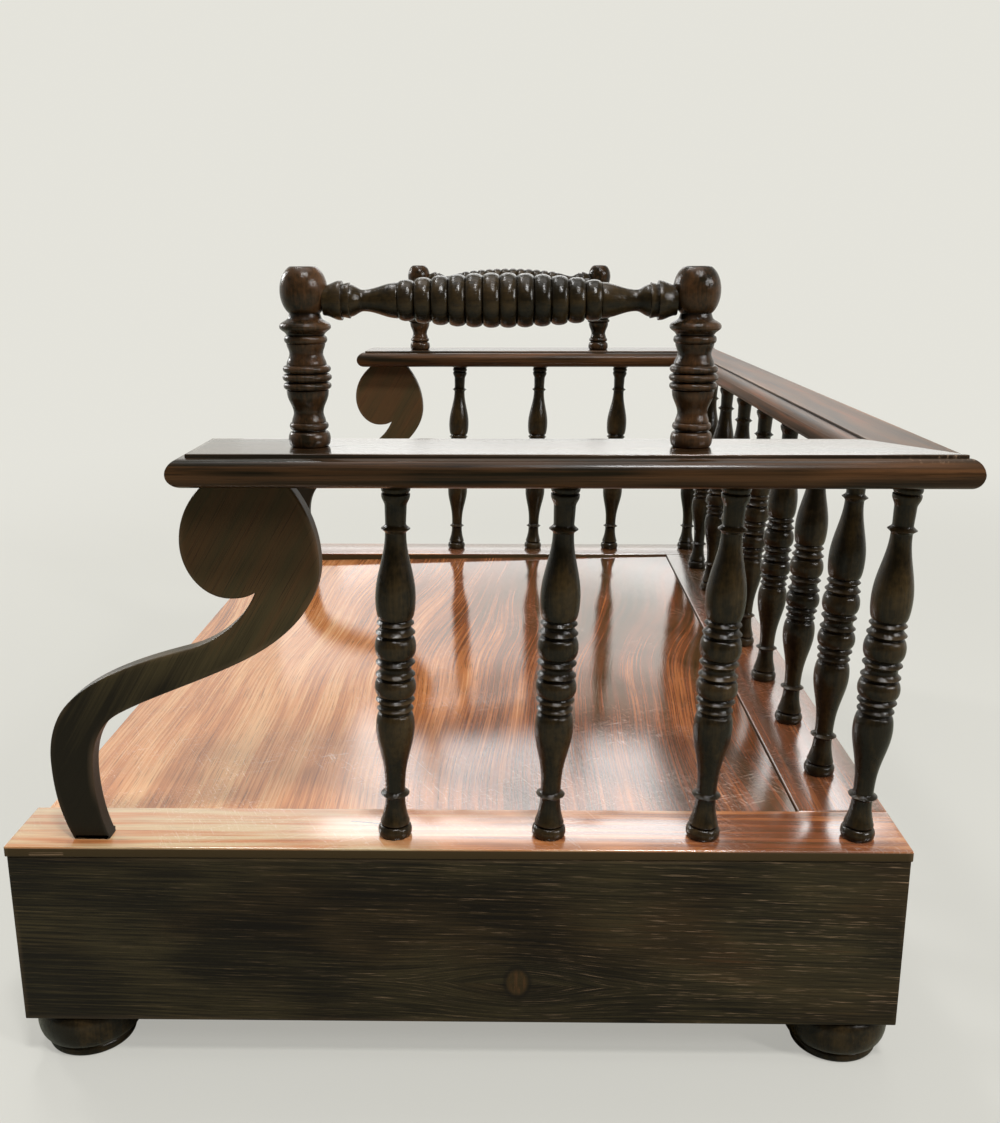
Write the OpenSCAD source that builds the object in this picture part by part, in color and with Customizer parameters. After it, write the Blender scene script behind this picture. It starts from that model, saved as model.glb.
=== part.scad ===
// Book trough: a rosewood base with a drawer, a sunk book bed, a three-sided spindle gallery
// with mitred rails, S-scroll brackets at the open front and a ring-turned handle on each end rail.
// X runs along the length, the open front faces -Y, and Z is up from the floor.

/* [Base] */
// Length of the top
slab_l = 402; // [340:1:480]
// Depth of the top
slab_d = 280; // [250:1:330]
// Height of the base from the feet to the top
base_h = 61.3; // [54:0.1:90]
// Thickness of the two end panels
end_panel_t = 13; // [11:0.5:18]
// Thickness of the back panel
back_panel_t = 8; // [5:0.5:10]
// Thickness of the bottom board
bottom_t = 6; // [5.8:0.1:8]
// Thickness of the dust board under the bed
dust_t = 8; // [5:0.5:12]
// How far the top stands proud of the end and back panels
lip = 0.4; // [0:0.1:3]
// How far the carcase front stands back from the edge of the bed
front_set = 0.5; // [0:0.1:4]

/* [Book bed] */
// Width of the cleats on top of the ends
cleat_w = 27; // [20:0.5:34]
// Width of the border strip along the back
border_w = 29; // [22:0.5:36]
// Thickness of the strips where they rest on the dust board
strip_t = 7.5; // [6:0.1:10]
// Thickness of the cleats where they lap over the end panels
cleat_lap_t = 3.5; // [2:0.1:5]
// Depth of the bed below the strips at the front
bed_drop_front = 4.5; // [1:0.1:5]
// Depth of the bed below the strips at the back
bed_drop_back = 0.8; // [0.3:0.1:4]
// Open joint round the bed
bed_gap = 0.25; // [0.1:0.05:0.6]

/* [Feet] */
// Diameter of a bun foot
foot_d = 34; // [26:0.5:44]
// Height of a bun foot
foot_h = 16.2; // [12:0.1:26]
// Diameter of the turned base under the bun
foot_base_d = 28; // [18:0.5:30]
// Height of the turned base under the bun
foot_base_h = 3.2; // [1:0.1:4]
// Distance of a foot's centre from the end of the top
foot_inset_x = 17; // [17:0.5:30]
// Distance of a foot's centre from the front and back of the top
foot_inset_y = 15.5; // [13:0.5:30]
// Diameter of a foot's spigot
foot_spigot_d = 6; // [4:0.5:6]
// Length of a foot's spigot
foot_spigot_l = 5.5; // [3:0.1:5.6]

/* [Gallery] */
// Height of the gallery from the top to the underside of the rails
spindle_h = 114.4; // [90:0.1:150]
// Largest diameter of a spindle
spindle_d = 12.3; // [10.5:0.1:14]
// Diameter of a spindle's neck
spindle_neck_d = 6.3; // [5.6:0.1:8]
// Diameter of a spindle's tenon
tenon_d = 5.5; // [3:0.1:5.5]
// Length of a spindle's tenon at its foot
tenon_foot_l = 10; // [8.5:0.1:12]
// Length of a spindle's tenon at its head
tenon_head_l = 5; // [3:0.1:6]
// Distance of the end rows' feet from the end of the top
row_inset_end = 10; // [8:0.1:10.2]
// Distance of the back row's feet from the back of the top
row_inset_back = 14.5; // [13:0.1:18]
// Distance of the first spindle's foot behind the scroll's back curve
first_gap = 19.8; // [12:0.1:30]
// Number of spaces between the spindles of the back row
back_spaces = 8; // [5:1:10]
// Outward lean of the end rows, from foot to head
end_lean = 4; // [0:0.1:6]
// Backward lean of the back row, from foot to head
back_lean = 5.5; // [1:0.1:7]
// Backward lean of the first spindle in the end rows, from foot to head
front_lean = 3.2; // [1:0.1:6]

/* [Rails] */
// Width of the end rails
end_rail_w = 39; // [32:0.5:44]
// Width of the back rail
back_rail_w = 27; // [22:0.5:34]
// Height of the half-round edge
nose_h = 8.4; // [7:0.1:12]
// Height of the raised field above the half-round edge
field_h = 0.9; // [0.4:0.1:2]
// Flat shoulder between the half-round edge and the field
shoulder = 0.4; // [0.2:0.1:1.5]
// Distance of the end rails' front tips behind the front of the top
rail_set = 62.6; // [52:0.1:64]

/* [Scroll brackets] */
// Thickness of a scroll bracket
scroll_t = 6.5; // [4:0.1:9]
// Distance of a scroll's foot behind the front of the top
scroll_set = 20.3; // [12:0.1:24]
// Depth of a scroll bracket from its front curve to its back curve
scroll_w = 85.4; // [76:0.1:92]
// Distance of a scroll inside the middle of the end row's lean
scroll_in = 0.5; // [0:0.1:1.5]
// Diameter of a scroll's dowels
scroll_dowel_d = 3.5; // [2:0.1:4]

/* [Handles] */
// Distance between the two posts of a handle
handle_span = 108.6; // [96:0.1:125]
// Distance of a handle's front post behind the front of the top
handle_set = 99.2; // [84:0.1:104]
// Height of a post from the rail to the centre of its ball
post_h = 43; // [38:0.1:60]
// Diameter of a post's ball
ball_d = 13.2; // [12:0.1:16]
// Largest diameter of a post below its ball
post_d = 13.8; // [12:0.1:16]
// Diameter of a post's tenon
post_tenon_d = 6; // [4:0.1:7]
// Length of a post's tenon
post_tenon_l = 6; // [3:0.1:7]
// Number of rings on a handle bar
ring_n = 12; // [8:1:14]
// Length of one ring
ring_pitch = 4.7; // [4:0.1:5.2]
// Diameter of the ring at the middle of a bar
ring_mid_d = 15; // [13:0.1:18]
// Diameter of the rings at the ends of the row
ring_end_d = 11.2; // [10:0.1:13]
// Diameter of a bar's neck
bar_neck_d = 6.2; // [5:0.1:8]
// Diameter of a bar's collars
bar_collar_d = 10.8; // [9:0.1:12]
// Drop of a bar's axis below the centre of the balls
bar_drop = 2.4; // [0:0.1:3]
// Diameter of a bar's tenon in the ball
bar_tenon_d = 4.5; // [3:0.1:5]

/* [Drawer] */
// Thickness of the drawer front
drawer_front_t = 10; // [8:0.5:14]
// Thickness of the drawer sides and back
drawer_side_t = 7; // [5:0.5:7]
// Thickness of the drawer bottom
drawer_bottom_t = 4; // [3:0.1:5]
// Depth of the groove that holds the drawer bottom
drawer_groove = 3; // [1.5:0.1:3.5]
// Gap round the drawer in its opening
drawer_gap = 0.7; // [0.4:0.05:1.2]
// Room behind the drawer when it is shut
drawer_room = 12; // [11:0.5:30]
// Number of dovetails at each front corner
dovetail_n = 3; // [2:1:4]
// Thickness of the drawer runners
runner_t = 2.5; // [2:0.1:4]
// Width of the drawer runners
runner_w = 9; // [8:0.5:14]
// Distance of a knob from the middle of the drawer
knob_x = 96; // [50:1:120]
// Diameter of a knob
knob_d = 16; // [15:0.1:22]
// How far a knob stands out from the drawer front
knob_l = 11.5; // [10:0.1:16]
// Diameter of a knob's spigot
knob_spigot_d = 6; // [4:0.1:7]

/* [Hidden] */
// Clearance round glued tenons and in glued grooves
glue_gap = 0.12;
// Clearance between the drawer and what it slides on
run_gap = 0.3;
// Overshoot of cutting shapes
cut = 1;
$fn = 64;
// Spindles in an end row, without the corner one
end_n = 3;

// Colours of the wood, darkest on the turned pieces
dark_wood = "#2b1913";
panel_wood = "#3a2419";
rail_wood = "#4a2a20";
strip_wood = "#8a5a35";
bed_wood = "#8a4a24";
pale_wood = "#b08a5c";

// Heights above the floor
base_z = foot_h;
slab_top = base_z + base_h;
strip_z = slab_top - strip_t;
dust_z = strip_z - dust_t;
floor_z = base_z + bottom_t;
rail_z = slab_top + spindle_h;
field_z = rail_z + nose_h + field_h;
ball_z = field_z + post_h;

// Places along X
half_l = slab_l / 2;
face_x = half_l - lip;
inner_x = face_x - end_panel_t;
row_x = half_l - row_inset_end;
rail_x = row_x + end_lean;
rail_tip_x = rail_x + end_rail_w / 2;
rail_in_x = rail_x - end_rail_w / 2;
scroll_x = (row_x + rail_x) / 2 - scroll_in;

// Places along Y: the knobs' tips and the back rail's edge lie equally far from the origin
rail_over = back_lean + back_rail_w / 2 - row_inset_back;
knob_over = knob_l - front_set;
front_y = -(slab_d + rail_over + knob_over) / 2 + knob_over;
back_y = front_y + slab_d;
face_y = front_y + front_set;
back_in_y = back_y - lip - back_panel_t;
row_y = back_y - row_inset_back;
rail_y = row_y + back_lean;
rail_tip_y = rail_y + back_rail_w / 2;
rail_in_y = rail_y - back_rail_w / 2;
rail_front_y = front_y + rail_set;
scroll_y = front_y + scroll_set;
post_front_y = front_y + handle_set;
post_back_y = post_front_y + handle_span;
drawer_back_y = back_in_y - drawer_room;
drawer_inner_y = face_y + drawer_front_t;

// Shares of a scroll's width: length of its foot, middle of its head and furthest point of its back curve
foot_run = 0.131;
head_mid = 0.703;
back_curve = 0.939;

// Foot and head of each spindle in plan: the first stands behind the scroll, and the rest are spread evenly
first_y = scroll_y + back_curve * scroll_w + first_gap;
end_pitch = (row_y - first_y) / end_n;
end_rows = [for (i = [1:end_n]) [row_x, first_y + (i - 1) * end_pitch]];
end_heads = [for (i = [1:end_n])
    [rail_x, end_rows[i - 1].y + front_lean + (back_lean - front_lean) * (i - 1) / end_n]];
back_row = [for (i = [0:back_spaces]) [row_x - 2 * row_x * i / back_spaces, row_y]];
back_heads = [for (i = [0:back_spaces]) [rail_x - 2 * rail_x * i / back_spaces, rail_y]];

function across(p) = [-p.x, p.y];

// Points of a cubic curve from a to d, drawn towards b and c
function curve(a, b, c, d, n = 12) = [for (i = [0:n])
    let (t = i / n, s = 1 - t) s * s * s * a + 3 * s * s * t * b + 3 * s * t * t * c + t * t * t * d];

// Turned outlines are lists of [radius, height]
// A bead from height z that swells from radius a to radius b
function bead(z, h, a, b, n = 8) = [for (i = [0:n])
    [a + (b - a) * sin(180 * i / n), z + h * (1 - cos(180 * i / n)) / 2]];
// A smooth change of radius from a to b, level at both ends
function ogee(z, h, a, b, n = 8) = [for (i = [0:n])
    [a + (b - a) * (1 - cos(180 * i / n)) / 2, z + h * i / n]];
// A shoulder that turns in from radius a to radius b
function turn_in(z, h, a, b, n = 5) = [for (i = [0:n]) [b + (a - b) * cos(90 * i / n), z + h * i / n]];
// A quarter of an oval that turns in from radius a to radius b
function oval(z, h, a, b, n = 8) = [for (i = [0:n])
    [b + (a - b) * cos(90 * i / n), z + h * sin(90 * i / n)]];
// A hollow that starts at radius a, thins to radius b and swells to radius c
function hollow(z, h, a, b, c) = concat(ogee(z, h / 2, a, b), ogee(z + h / 2, h / 2, b, c));
function flip(points, h) = [for (i = [len(points) - 1:-1:0]) [points[i].x, h - points[i].y]];

// Leaves out points that repeat the one before
function tidy(points) = [for (i = [0:len(points) - 1])
    if (i == 0 || norm(points[i] - points[i - 1]) > 0.001) points[i]];

// Depth of the grooves between turned mouldings
groove = 0.7;

// Rings and beads on half of a spindle's middle: height, and share of the largest radius
cluster_half = [[2.2, 0.90], [2.2, 0.99], [6.1, 1], [3.2, 0.98]];
spindle_r = spindle_d / 2;
cluster_groove = 1;
cluster_r = spindle_r - cluster_groove;
function cluster_z(k) = k == 0 ? 0 : cluster_z(k - 1) + cluster_half[k - 1][0];
cluster_h = cluster_z(len(cluster_half));
function cluster(z) = [for (k = [0:len(cluster_half) - 1])
    each bead(z + cluster_z(k), cluster_half[k][0], cluster_r, spindle_r * cluster_half[k][1])];

// Half of a spindle from one end to the middle of its length h: an end bead that starts at the seat,
// a bell, a thin ring, a vase and half of the middle
neck_r = spindle_neck_d / 2;
bell_out = 1.5;
ring_out = 1.4;
ring_h = 2.4;
function spindle_half(h, seat, end_h, bell_h, end_r, close) = let (
    vase_z = end_h + bell_h + ring_h,
    vase_h = h / 2 - cluster_h - vase_z,
    close_h = vase_h * close)
    concat(bead(seat, end_h - seat, end_r - groove, end_r),
        ogee(end_h, bell_h, neck_r + bell_out, neck_r),
        bead(end_h + bell_h, ring_h, neck_r, neck_r + ring_out),
        ogee(vase_z, vase_h - close_h, neck_r, spindle_r, 12),
        turn_in(vase_z + vase_h - close_h, close_h, spindle_r, cluster_r),
        cluster(h / 2 - cluster_h));
toe_h = 4.9;
toe_r = neck_r + 2.3;
toe_bell_h = 9;
capital_h = 2.4;
capital_r = neck_r + 1.5;
cup_h = 9.4;
// Shares of the lower and the upper vase that turn in at the wide end
low_close = 0.18;
high_close = 0.24;
// The seat lifts the leaning shoulders clear of the flat faces that they stand between
function spindle_outline(h, slope) = let (seat = toe_r * slope) tidy(concat(
    [[tenon_d / 2, -tenon_foot_l], [tenon_d / 2, seat]],
    spindle_half(h, seat, toe_h, toe_bell_h, toe_r, low_close),
    flip(spindle_half(h, seat, capital_h, cup_h, capital_r, high_close), h),
    [[tenon_d / 2, h - seat], [tenon_d / 2, h + tenon_head_l]]));

// A handle post up to the top of its ball, with the waist and the cove taking up the height
post_r = post_d / 2;
post_toe_r = post_r - 0.95;
post_toe_h = 4.5;
post_bead_r = post_r - 1.2;
post_bead_h = 2;
post_waist_r = post_r - 2.7;
post_ring_r = post_r - 0.25;
post_ring_h = 2.5;
post_ring_n = 3;
post_cove_r = post_r - 2.2;
// Heights of the disc under the ball, up to its edge and above it
disc_rise = 3;
disc_fall = 2;
ball_r = ball_d / 2;
ball_low = 7.3;
ball_high = 6.8;
ball_neck_r = ball_r - 2;
ball_top_r = ball_r - 3;
post_rings_h = post_ring_n * post_ring_h;
post_spare = post_h - ball_low - post_toe_h - 2 * post_bead_h - post_rings_h - disc_rise - disc_fall;
// Share of the spare height that goes to the waist
waist_share = 0.6;
waist_h = post_spare * waist_share;
waist_z = post_toe_h + post_bead_h;
post_ring_z = waist_z + waist_h;
cove_h = post_spare - waist_h;
cove_z = post_ring_z + post_rings_h;
disc_z = cove_z + cove_h + post_bead_h;
function post_outline() = tidy(concat(
    bead(0, post_toe_h, post_toe_r - groove, post_toe_r),
    bead(post_toe_h, post_bead_h, post_bead_r - groove, post_bead_r),
    hollow(waist_z, waist_h, post_bead_r - groove, post_waist_r, post_ring_r - groove),
    [for (i = [0:post_ring_n - 1])
        each bead(post_ring_z + i * post_ring_h, post_ring_h, post_ring_r - groove, post_ring_r)],
    hollow(cove_z, cove_h, post_ring_r - groove, post_cove_r, post_bead_r - groove),
    bead(cove_z + cove_h, post_bead_h, post_bead_r - groove, post_bead_r),
    ogee(disc_z, disc_rise, post_bead_r - groove, post_r, 5),
    turn_in(disc_z + disc_rise, disc_fall, post_r, ball_neck_r),
    flip(oval(0, ball_low, ball_r, ball_neck_r), post_h),
    oval(post_h, ball_high, ball_r, ball_top_r)));

// A handle bar from one ball to the other: two collars, a neck, a cone, the row of rings and the same again
bar_l = handle_span - ball_d;
collar_r = bar_collar_d / 2;
collar_l = 4;
small_collar_r = collar_r - 0.75;
small_collar_l = 1.6;
bar_taper_l = 3.6;
ring_depth = 1.1;
rings_z = (bar_l - ring_n * ring_pitch) / 2;
cone_z = collar_l + small_collar_l + bar_taper_l;
function bar_end() = concat(
    bead(0, collar_l, collar_r - groove, collar_r),
    bead(collar_l, small_collar_l, small_collar_r - groove, small_collar_r),
    ogee(collar_l + small_collar_l, bar_taper_l, small_collar_r - groove, bar_neck_d / 2),
    ogee(cone_z, rings_z - cone_z, bar_neck_d / 2, ring_end_d / 2 - ring_depth));
function ring_r(t) = (ring_end_d + (ring_mid_d - ring_end_d) * (1 - (2 * t - 1) * (2 * t - 1))) / 2;
function bar_rings() = [for (i = [0:ring_n - 1]) let (r = ring_r((i + 0.5) / ring_n))
    each bead(rings_z + i * ring_pitch, ring_pitch, r - ring_depth, r)];
function bar_outline() = tidy(concat(bar_end(), bar_rings(), flip(bar_end(), bar_l)));

// A knob from the drawer front outwards: foot, neck and mushroom head
knob_r = knob_d / 2;
knob_foot_r = knob_r - 3.2;
knob_foot_h = 2;
knob_neck_r = knob_r - 4.8;
knob_neck_h = 4;
knob_tip_r = 1.5;
knob_head_z = knob_foot_h + knob_neck_h;
// Share of the head's height that lies below its crown
head_share = 0.6;
head_h = knob_l - knob_head_z;
function knob_outline() = tidy(concat(
    bead(0, knob_foot_h, knob_foot_r - groove, knob_foot_r),
    hollow(knob_foot_h, knob_neck_h, knob_foot_r - groove, knob_neck_r, knob_foot_r),
    bead(knob_head_z, head_h * head_share, knob_foot_r, knob_r),
    turn_in(knob_head_z + head_h * head_share, head_h * (1 - head_share), knob_foot_r, knob_tip_r)));

// How far the top and the bottom of a bun lie inside its largest radius
bun_in = 4.5;
function foot_outline() = tidy(concat(
    bead(0, foot_base_h, foot_base_d / 2 - groove, foot_base_d / 2),
    bead(foot_base_h, foot_h - foot_base_h, foot_d / 2 - bun_in, foot_d / 2, 16)));

// Half of the moulded rail section, from its middle: half-round edge, shoulder and raised field
nose_r = nose_h / 2;
function rail_edge(w) = concat(
    [for (a = [-90:15:90]) [w / 2 - nose_r + nose_r * cos(a), nose_r + nose_r * sin(a)]],
    [[w / 2 - nose_r - shoulder, nose_h], [w / 2 - nose_r - shoulder, nose_h + field_h]]);
function rail_section(w) = concat(rail_edge(w), [for (p = flip(rail_edge(w), 0)) [-p.x, -p.y]]);

// Scroll outline: shares of its width, from the front corner of its foot, and of the gallery's height
scroll_curves = concat(
    curve([0.588, 1], [0.506, 0.957], [0.459, 0.896], [0.459, 0.826]),
    curve([0.459, 0.826], [0.459, 0.752], [0.529, 0.682], [0.626, 0.682]),
    curve([0.626, 0.682], [0.658, 0.682], [0.687, 0.685], [0.711, 0.698], 4),
    curve([0.711, 0.698], [0.676, 0.638], [0.588, 0.568], [0.456, 0.544]),
    curve([0.456, 0.544], [0.301, 0.514], [0.102, 0.468], [0.006, 0.382]),
    curve([0.006, 0.382], [-0.036, 0.345], [-0.061, 0.288], [-0.061, 0.227], 8),
    curve([-0.061, 0.227], [-0.061, 0.14], [-0.044, 0.07], [0, 0], 8),
    curve([foot_run, 0], [0.102, 0.052], [0.088, 0.122], [0.088, 0.184], 8),
    curve([0.088, 0.184], [0.088, 0.271], [0.119, 0.332], [0.199, 0.365], 8),
    curve([0.199, 0.365], [0.324, 0.415], [0.512, 0.459], [0.66, 0.515]),
    curve([0.66, 0.515], [0.816, 0.573], [back_curve, 0.664], [back_curve, 0.774]),
    curve([back_curve, 0.774], [back_curve, 0.861], [0.892, 0.94], [0.819, 1]));
scroll_outline = tidy([for (p = scroll_curves) [p.x * scroll_w, p.y * spindle_h]]);
scroll_foot_y = scroll_y + foot_run / 2 * scroll_w;
scroll_head_y = scroll_y + head_mid * scroll_w;
dowel_l = 5;

// A block between two corners
module block(low, high) translate(low) cube(high - low);

module turned(outline) {
    first = outline[0];
    last = outline[len(outline) - 1];
    rotate_extrude() polygon(concat([[0, first.y]], outline, [[0, last.y]]));
}

// Sets a turned piece on the top, leaning from a foot to a head in plan
function axis(foot, head) = [head.x - foot.x, head.y - foot.y, spindle_h];
module lean(foot, head) {
    v = axis(foot, head);
    translate([foot.x, foot.y, slab_top]) rotate([-asin(v.y / norm(v)), atan2(v.x, v.z), 0])
        children();
}

module spindle(foot, head) color(dark_wood) {
    v = axis(foot, head);
    lean(foot, head) turned(spindle_outline(norm(v), norm([v.x, v.y]) / v.z));
}

// Bore for both tenons of a spindle
module tenon_bore(foot, head) lean(foot, head) translate([0, 0, -tenon_foot_l - glue_gap])
    cylinder(d = tenon_d + 2 * glue_gap,
        h = norm(axis(foot, head)) + tenon_foot_l + tenon_head_l + 2 * glue_gap);

// Bores for the tenons of the right half of the gallery
module end_bores() {
    for (i = [0:end_n - 1]) tenon_bore(end_rows[i], end_heads[i]);
    tenon_bore(back_row[0], back_heads[0]);
}
module back_bores() for (i = [1:back_spaces - 1]) tenon_bore(back_row[i], back_heads[i]);

// Dowels at the foot and the head of a scroll bracket
module scroll_dowels(gap = 0) {
    translate([scroll_x, scroll_foot_y, slab_top - dowel_l - gap])
        cylinder(d = scroll_dowel_d + 2 * gap, h = 2 * dowel_l);
    translate([scroll_x, scroll_head_y, rail_z - dowel_l])
        cylinder(d = scroll_dowel_d + 2 * gap, h = 2 * dowel_l + gap);
}

// Spigots of the feet, as pieces or as bores
module foot_spigot(sx, front, gap = 0) {
    y = front ? front_y + foot_inset_y : back_y - foot_inset_y;
    translate([sx * (half_l - foot_inset_x), y, base_z - cut])
        cylinder(d = foot_spigot_d + 2 * gap, h = cut + foot_spigot_l + gap);
}

module end_panel_right() color(panel_wood) difference() {
    block([inner_x, face_y, base_z], [face_x, back_y - lip, slab_top - cleat_lap_t]);
    end_bores();
    scroll_dowels(glue_gap);
}
module end_panel_left() mirror([1, 0, 0]) end_panel_right();

module back_panel() color(panel_wood)
    block([-inner_x, back_in_y, base_z], [inner_x, back_y - lip, strip_z]);

module bottom_board() color(pale_wood) difference() {
    block([-inner_x, front_y, base_z], [inner_x, back_in_y, floor_z]);
    for (sx = [-1, 1], front = [true, false]) foot_spigot(sx, front, glue_gap);
}

module dust_board() color(pale_wood) difference() {
    block([-inner_x, face_y, dust_z], [inner_x, back_in_y, strip_z]);
    back_bores();
}

// The bed is a board whose top falls a little towards the open front
module bed_panel() color(bed_wood) {
    w = half_l - cleat_w - bed_gap;
    y = back_y - border_w - bed_gap;
    translate([-w, 0, 0]) rotate([90, 0, 90]) linear_extrude(2 * w)
        polygon([[front_y, strip_z], [y, strip_z], [y, slab_top - bed_drop_back],
            [front_y, slab_top - bed_drop_front]]);
}

// A cleat laps over the end panel with its thin outer part
module cleat_right() color(strip_wood) difference() {
    translate([0, back_y, 0]) rotate([90, 0, 0]) linear_extrude(slab_d)
        polygon([[half_l - cleat_w, strip_z], [inner_x, strip_z], [inner_x, slab_top - cleat_lap_t],
            [half_l, slab_top - cleat_lap_t], [half_l, slab_top], [half_l - cleat_w, slab_top]]);
    end_bores();
    scroll_dowels(glue_gap);
}
module cleat_left() mirror([1, 0, 0]) cleat_right();

module back_border() color(strip_wood) difference() {
    w = half_l - cleat_w;
    block([-w, back_y - border_w, strip_z], [w, back_y, slab_top]);
    back_bores();
}

block_size = [30, 9, 9];
// Place of the outer glue blocks as a share of the inner half length
block_share = 0.62;
module glue_blocks() color(pale_wood) for (s = [-1:1]) {
    x = s * inner_x * block_share - block_size.x / 2;
    translate([x, back_in_y - block_size.y, dust_z - block_size.z]) cube(block_size);
}

// Space between the drawer front and the runners
runner_set = 1;
module drawer_runner_right() color(pale_wood) block(
    [inner_x - runner_w, drawer_inner_y + runner_set, floor_z],
    [inner_x, back_in_y, floor_z + runner_t]);
module drawer_runner_left() mirror([1, 0, 0]) drawer_runner_right();

stop_size = [24, 10, 4];
module drawer_stops() color(pale_wood) for (s = [-1, 1])
    translate([s * knob_x - stop_size.x / 2, drawer_inner_y + run_gap, floor_z]) cube(stop_size);

module foot(sx, front) color(dark_wood) {
    y = front ? front_y + foot_inset_y : back_y - foot_inset_y;
    translate([sx * (half_l - foot_inset_x), y, 0]) turned(foot_outline());
    foot_spigot(sx, front);
}
module foot_front_right() foot(1, true);
module foot_front_left() foot(-1, true);
module foot_back_right() foot(1, false);
module foot_back_left() foot(-1, false);

module scroll_right() color(dark_wood) {
    translate([scroll_x - scroll_t / 2, scroll_y, slab_top]) rotate([90, 0, 90])
        linear_extrude(scroll_t) polygon(scroll_outline);
    scroll_dowels();
}
module scroll_left() mirror([1, 0, 0]) scroll_right();

// Posts stand on the end rails with a tenon below and a socket for the bar in the ball
module post_tenon(y, gap = 0) translate([rail_x, y, field_z - post_tenon_l - gap])
    cylinder(d = post_tenon_d + 2 * gap, h = post_tenon_l + gap + cut);
// The bar's tenons reach to the middle of the balls
module bar_tenons(gap = 0) translate([rail_x, post_front_y - gap, ball_z - bar_drop])
    rotate([-90, 0, 0]) cylinder(d = bar_tenon_d + 2 * gap, h = handle_span + 2 * gap);

module post(y) color(dark_wood) {
    difference() {
        translate([rail_x, y, field_z]) turned(post_outline());
        bar_tenons(glue_gap);
    }
    post_tenon(y);
}
module handle_post_right_front() post(post_front_y);
module handle_post_right_back() post(post_back_y);
module handle_post_left_front() mirror([1, 0, 0]) post(post_front_y);
module handle_post_left_back() mirror([1, 0, 0]) post(post_back_y);

module handle_bar_right() color(dark_wood) {
    translate([rail_x, post_front_y + ball_r, ball_z - bar_drop]) rotate([-90, 0, 0])
        turned(bar_outline());
    bar_tenons();
}
module handle_bar_left() mirror([1, 0, 0]) handle_bar_right();

// Plan of the mitred frame of rails: the end rail on one side of the mitre, the back rail on the other
module mitre_plan(points) translate([0, 0, rail_z - cut])
    linear_extrude(nose_h + field_h + 2 * cut) polygon(points);

// The section is swept along the rail and returned round its front end
module rail_right() color(rail_wood) difference() {
    intersection() {
        translate([rail_x, rail_tip_y + cut, rail_z]) rotate([90, 0, 0])
            linear_extrude(rail_tip_y + cut - rail_front_y + cut) polygon(rail_section(end_rail_w));
        translate([rail_in_x - cut, rail_front_y + slab_d, rail_z]) rotate([90, 0, 90])
            linear_extrude(end_rail_w + 2 * cut) polygon(rail_section(2 * slab_d));
        mitre_plan([[rail_in_x, rail_front_y - cut], [rail_tip_x, rail_front_y - cut],
            [rail_tip_x, rail_tip_y], [rail_in_x, rail_in_y]]);
    }
    end_bores();
    scroll_dowels(glue_gap);
    post_tenon(post_front_y, glue_gap);
    post_tenon(post_back_y, glue_gap);
}
module rail_left() mirror([1, 0, 0]) rail_right();

module rail_back() color(rail_wood) difference() {
    intersection() {
        translate([-rail_tip_x - cut, rail_y, rail_z]) rotate([90, 0, 90])
            linear_extrude(2 * rail_tip_x + 2 * cut) polygon(rail_section(back_rail_w));
        mitre_plan([[-rail_in_x, rail_in_y], [rail_in_x, rail_in_y], [rail_tip_x, rail_tip_y],
            [-rail_tip_x, rail_tip_y]]);
    }
    back_bores();
    for (s = [0, 1]) mirror([s, 0, 0]) tenon_bore(back_row[0], back_heads[0]);
}

// Drawer places
side_out_x = inner_x - drawer_gap;
side_in_x = side_out_x - drawer_side_t;
side_z = floor_z + runner_t + run_gap;
// Room above the drawer sides, and how far the drawer back stays below them
side_head = 4;
back_low = 2;
side_top = dust_z - side_head;
// Height of the groove above the lower edge of the drawer sides
groove_up = 3;
bottom_z = side_z + groove_up;
front_z = floor_z + drawer_gap;
front_top = dust_z - drawer_gap;
// Wood left in front of the dovetails
tail_lap = 3;
tail_l = drawer_front_t - tail_lap;
// Half widths of a dovetail at its root and at its end, as shares of the pitch
tail_root = 0.24;
tail_end = 0.34;
knob_z = (front_z + front_top) / 2;

// Dovetails on the front end of a drawer side, wider at their ends than at their roots
module dovetails() {
    pitch = (side_top - side_z) / dovetail_n;
    root = pitch * tail_root;
    end = pitch * tail_end;
    for (i = [0:dovetail_n - 1])
        translate([side_in_x, drawer_inner_y, side_z + (i + 0.5) * pitch]) rotate([90, 0, 90])
            linear_extrude(drawer_side_t)
                polygon([[0, -root], [0, root], [-tail_l, end], [-tail_l, -end]]);
}

module drawer_groove_cut() block(
    [-side_in_x - drawer_groove, drawer_inner_y - drawer_groove, bottom_z - glue_gap],
    [side_in_x + drawer_groove, drawer_back_y + cut, bottom_z + drawer_bottom_t + glue_gap]);

module knob_spigot(s, gap = 0) translate([s * knob_x, drawer_inner_y, knob_z]) rotate([90, 0, 0])
    cylinder(d = knob_spigot_d + 2 * gap, h = drawer_front_t + cut);

module drawer_front() color(panel_wood) difference() {
    block([-side_out_x, face_y, front_z], [side_out_x, drawer_inner_y, front_top]);
    drawer_groove_cut();
    for (s = [0, 1]) mirror([s, 0, 0]) dovetails();
    for (s = [-1, 1]) knob_spigot(s, glue_gap);
}

module drawer_side_right() color(pale_wood) difference() {
    union() {
        block([side_in_x, drawer_inner_y, side_z], [side_out_x, drawer_back_y, side_top]);
        dovetails();
    }
    drawer_groove_cut();
}
module drawer_side_left() mirror([1, 0, 0]) drawer_side_right();

module drawer_back() color(pale_wood) block(
    [-side_in_x, drawer_back_y - drawer_side_t, bottom_z + drawer_bottom_t],
    [side_in_x, drawer_back_y, side_top - back_low]);

module drawer_bottom() color(pale_wood) block(
    [-side_in_x - drawer_groove + glue_gap, drawer_inner_y - drawer_groove + glue_gap, bottom_z],
    [side_in_x + drawer_groove - glue_gap, drawer_back_y, bottom_z + drawer_bottom_t]);

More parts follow.
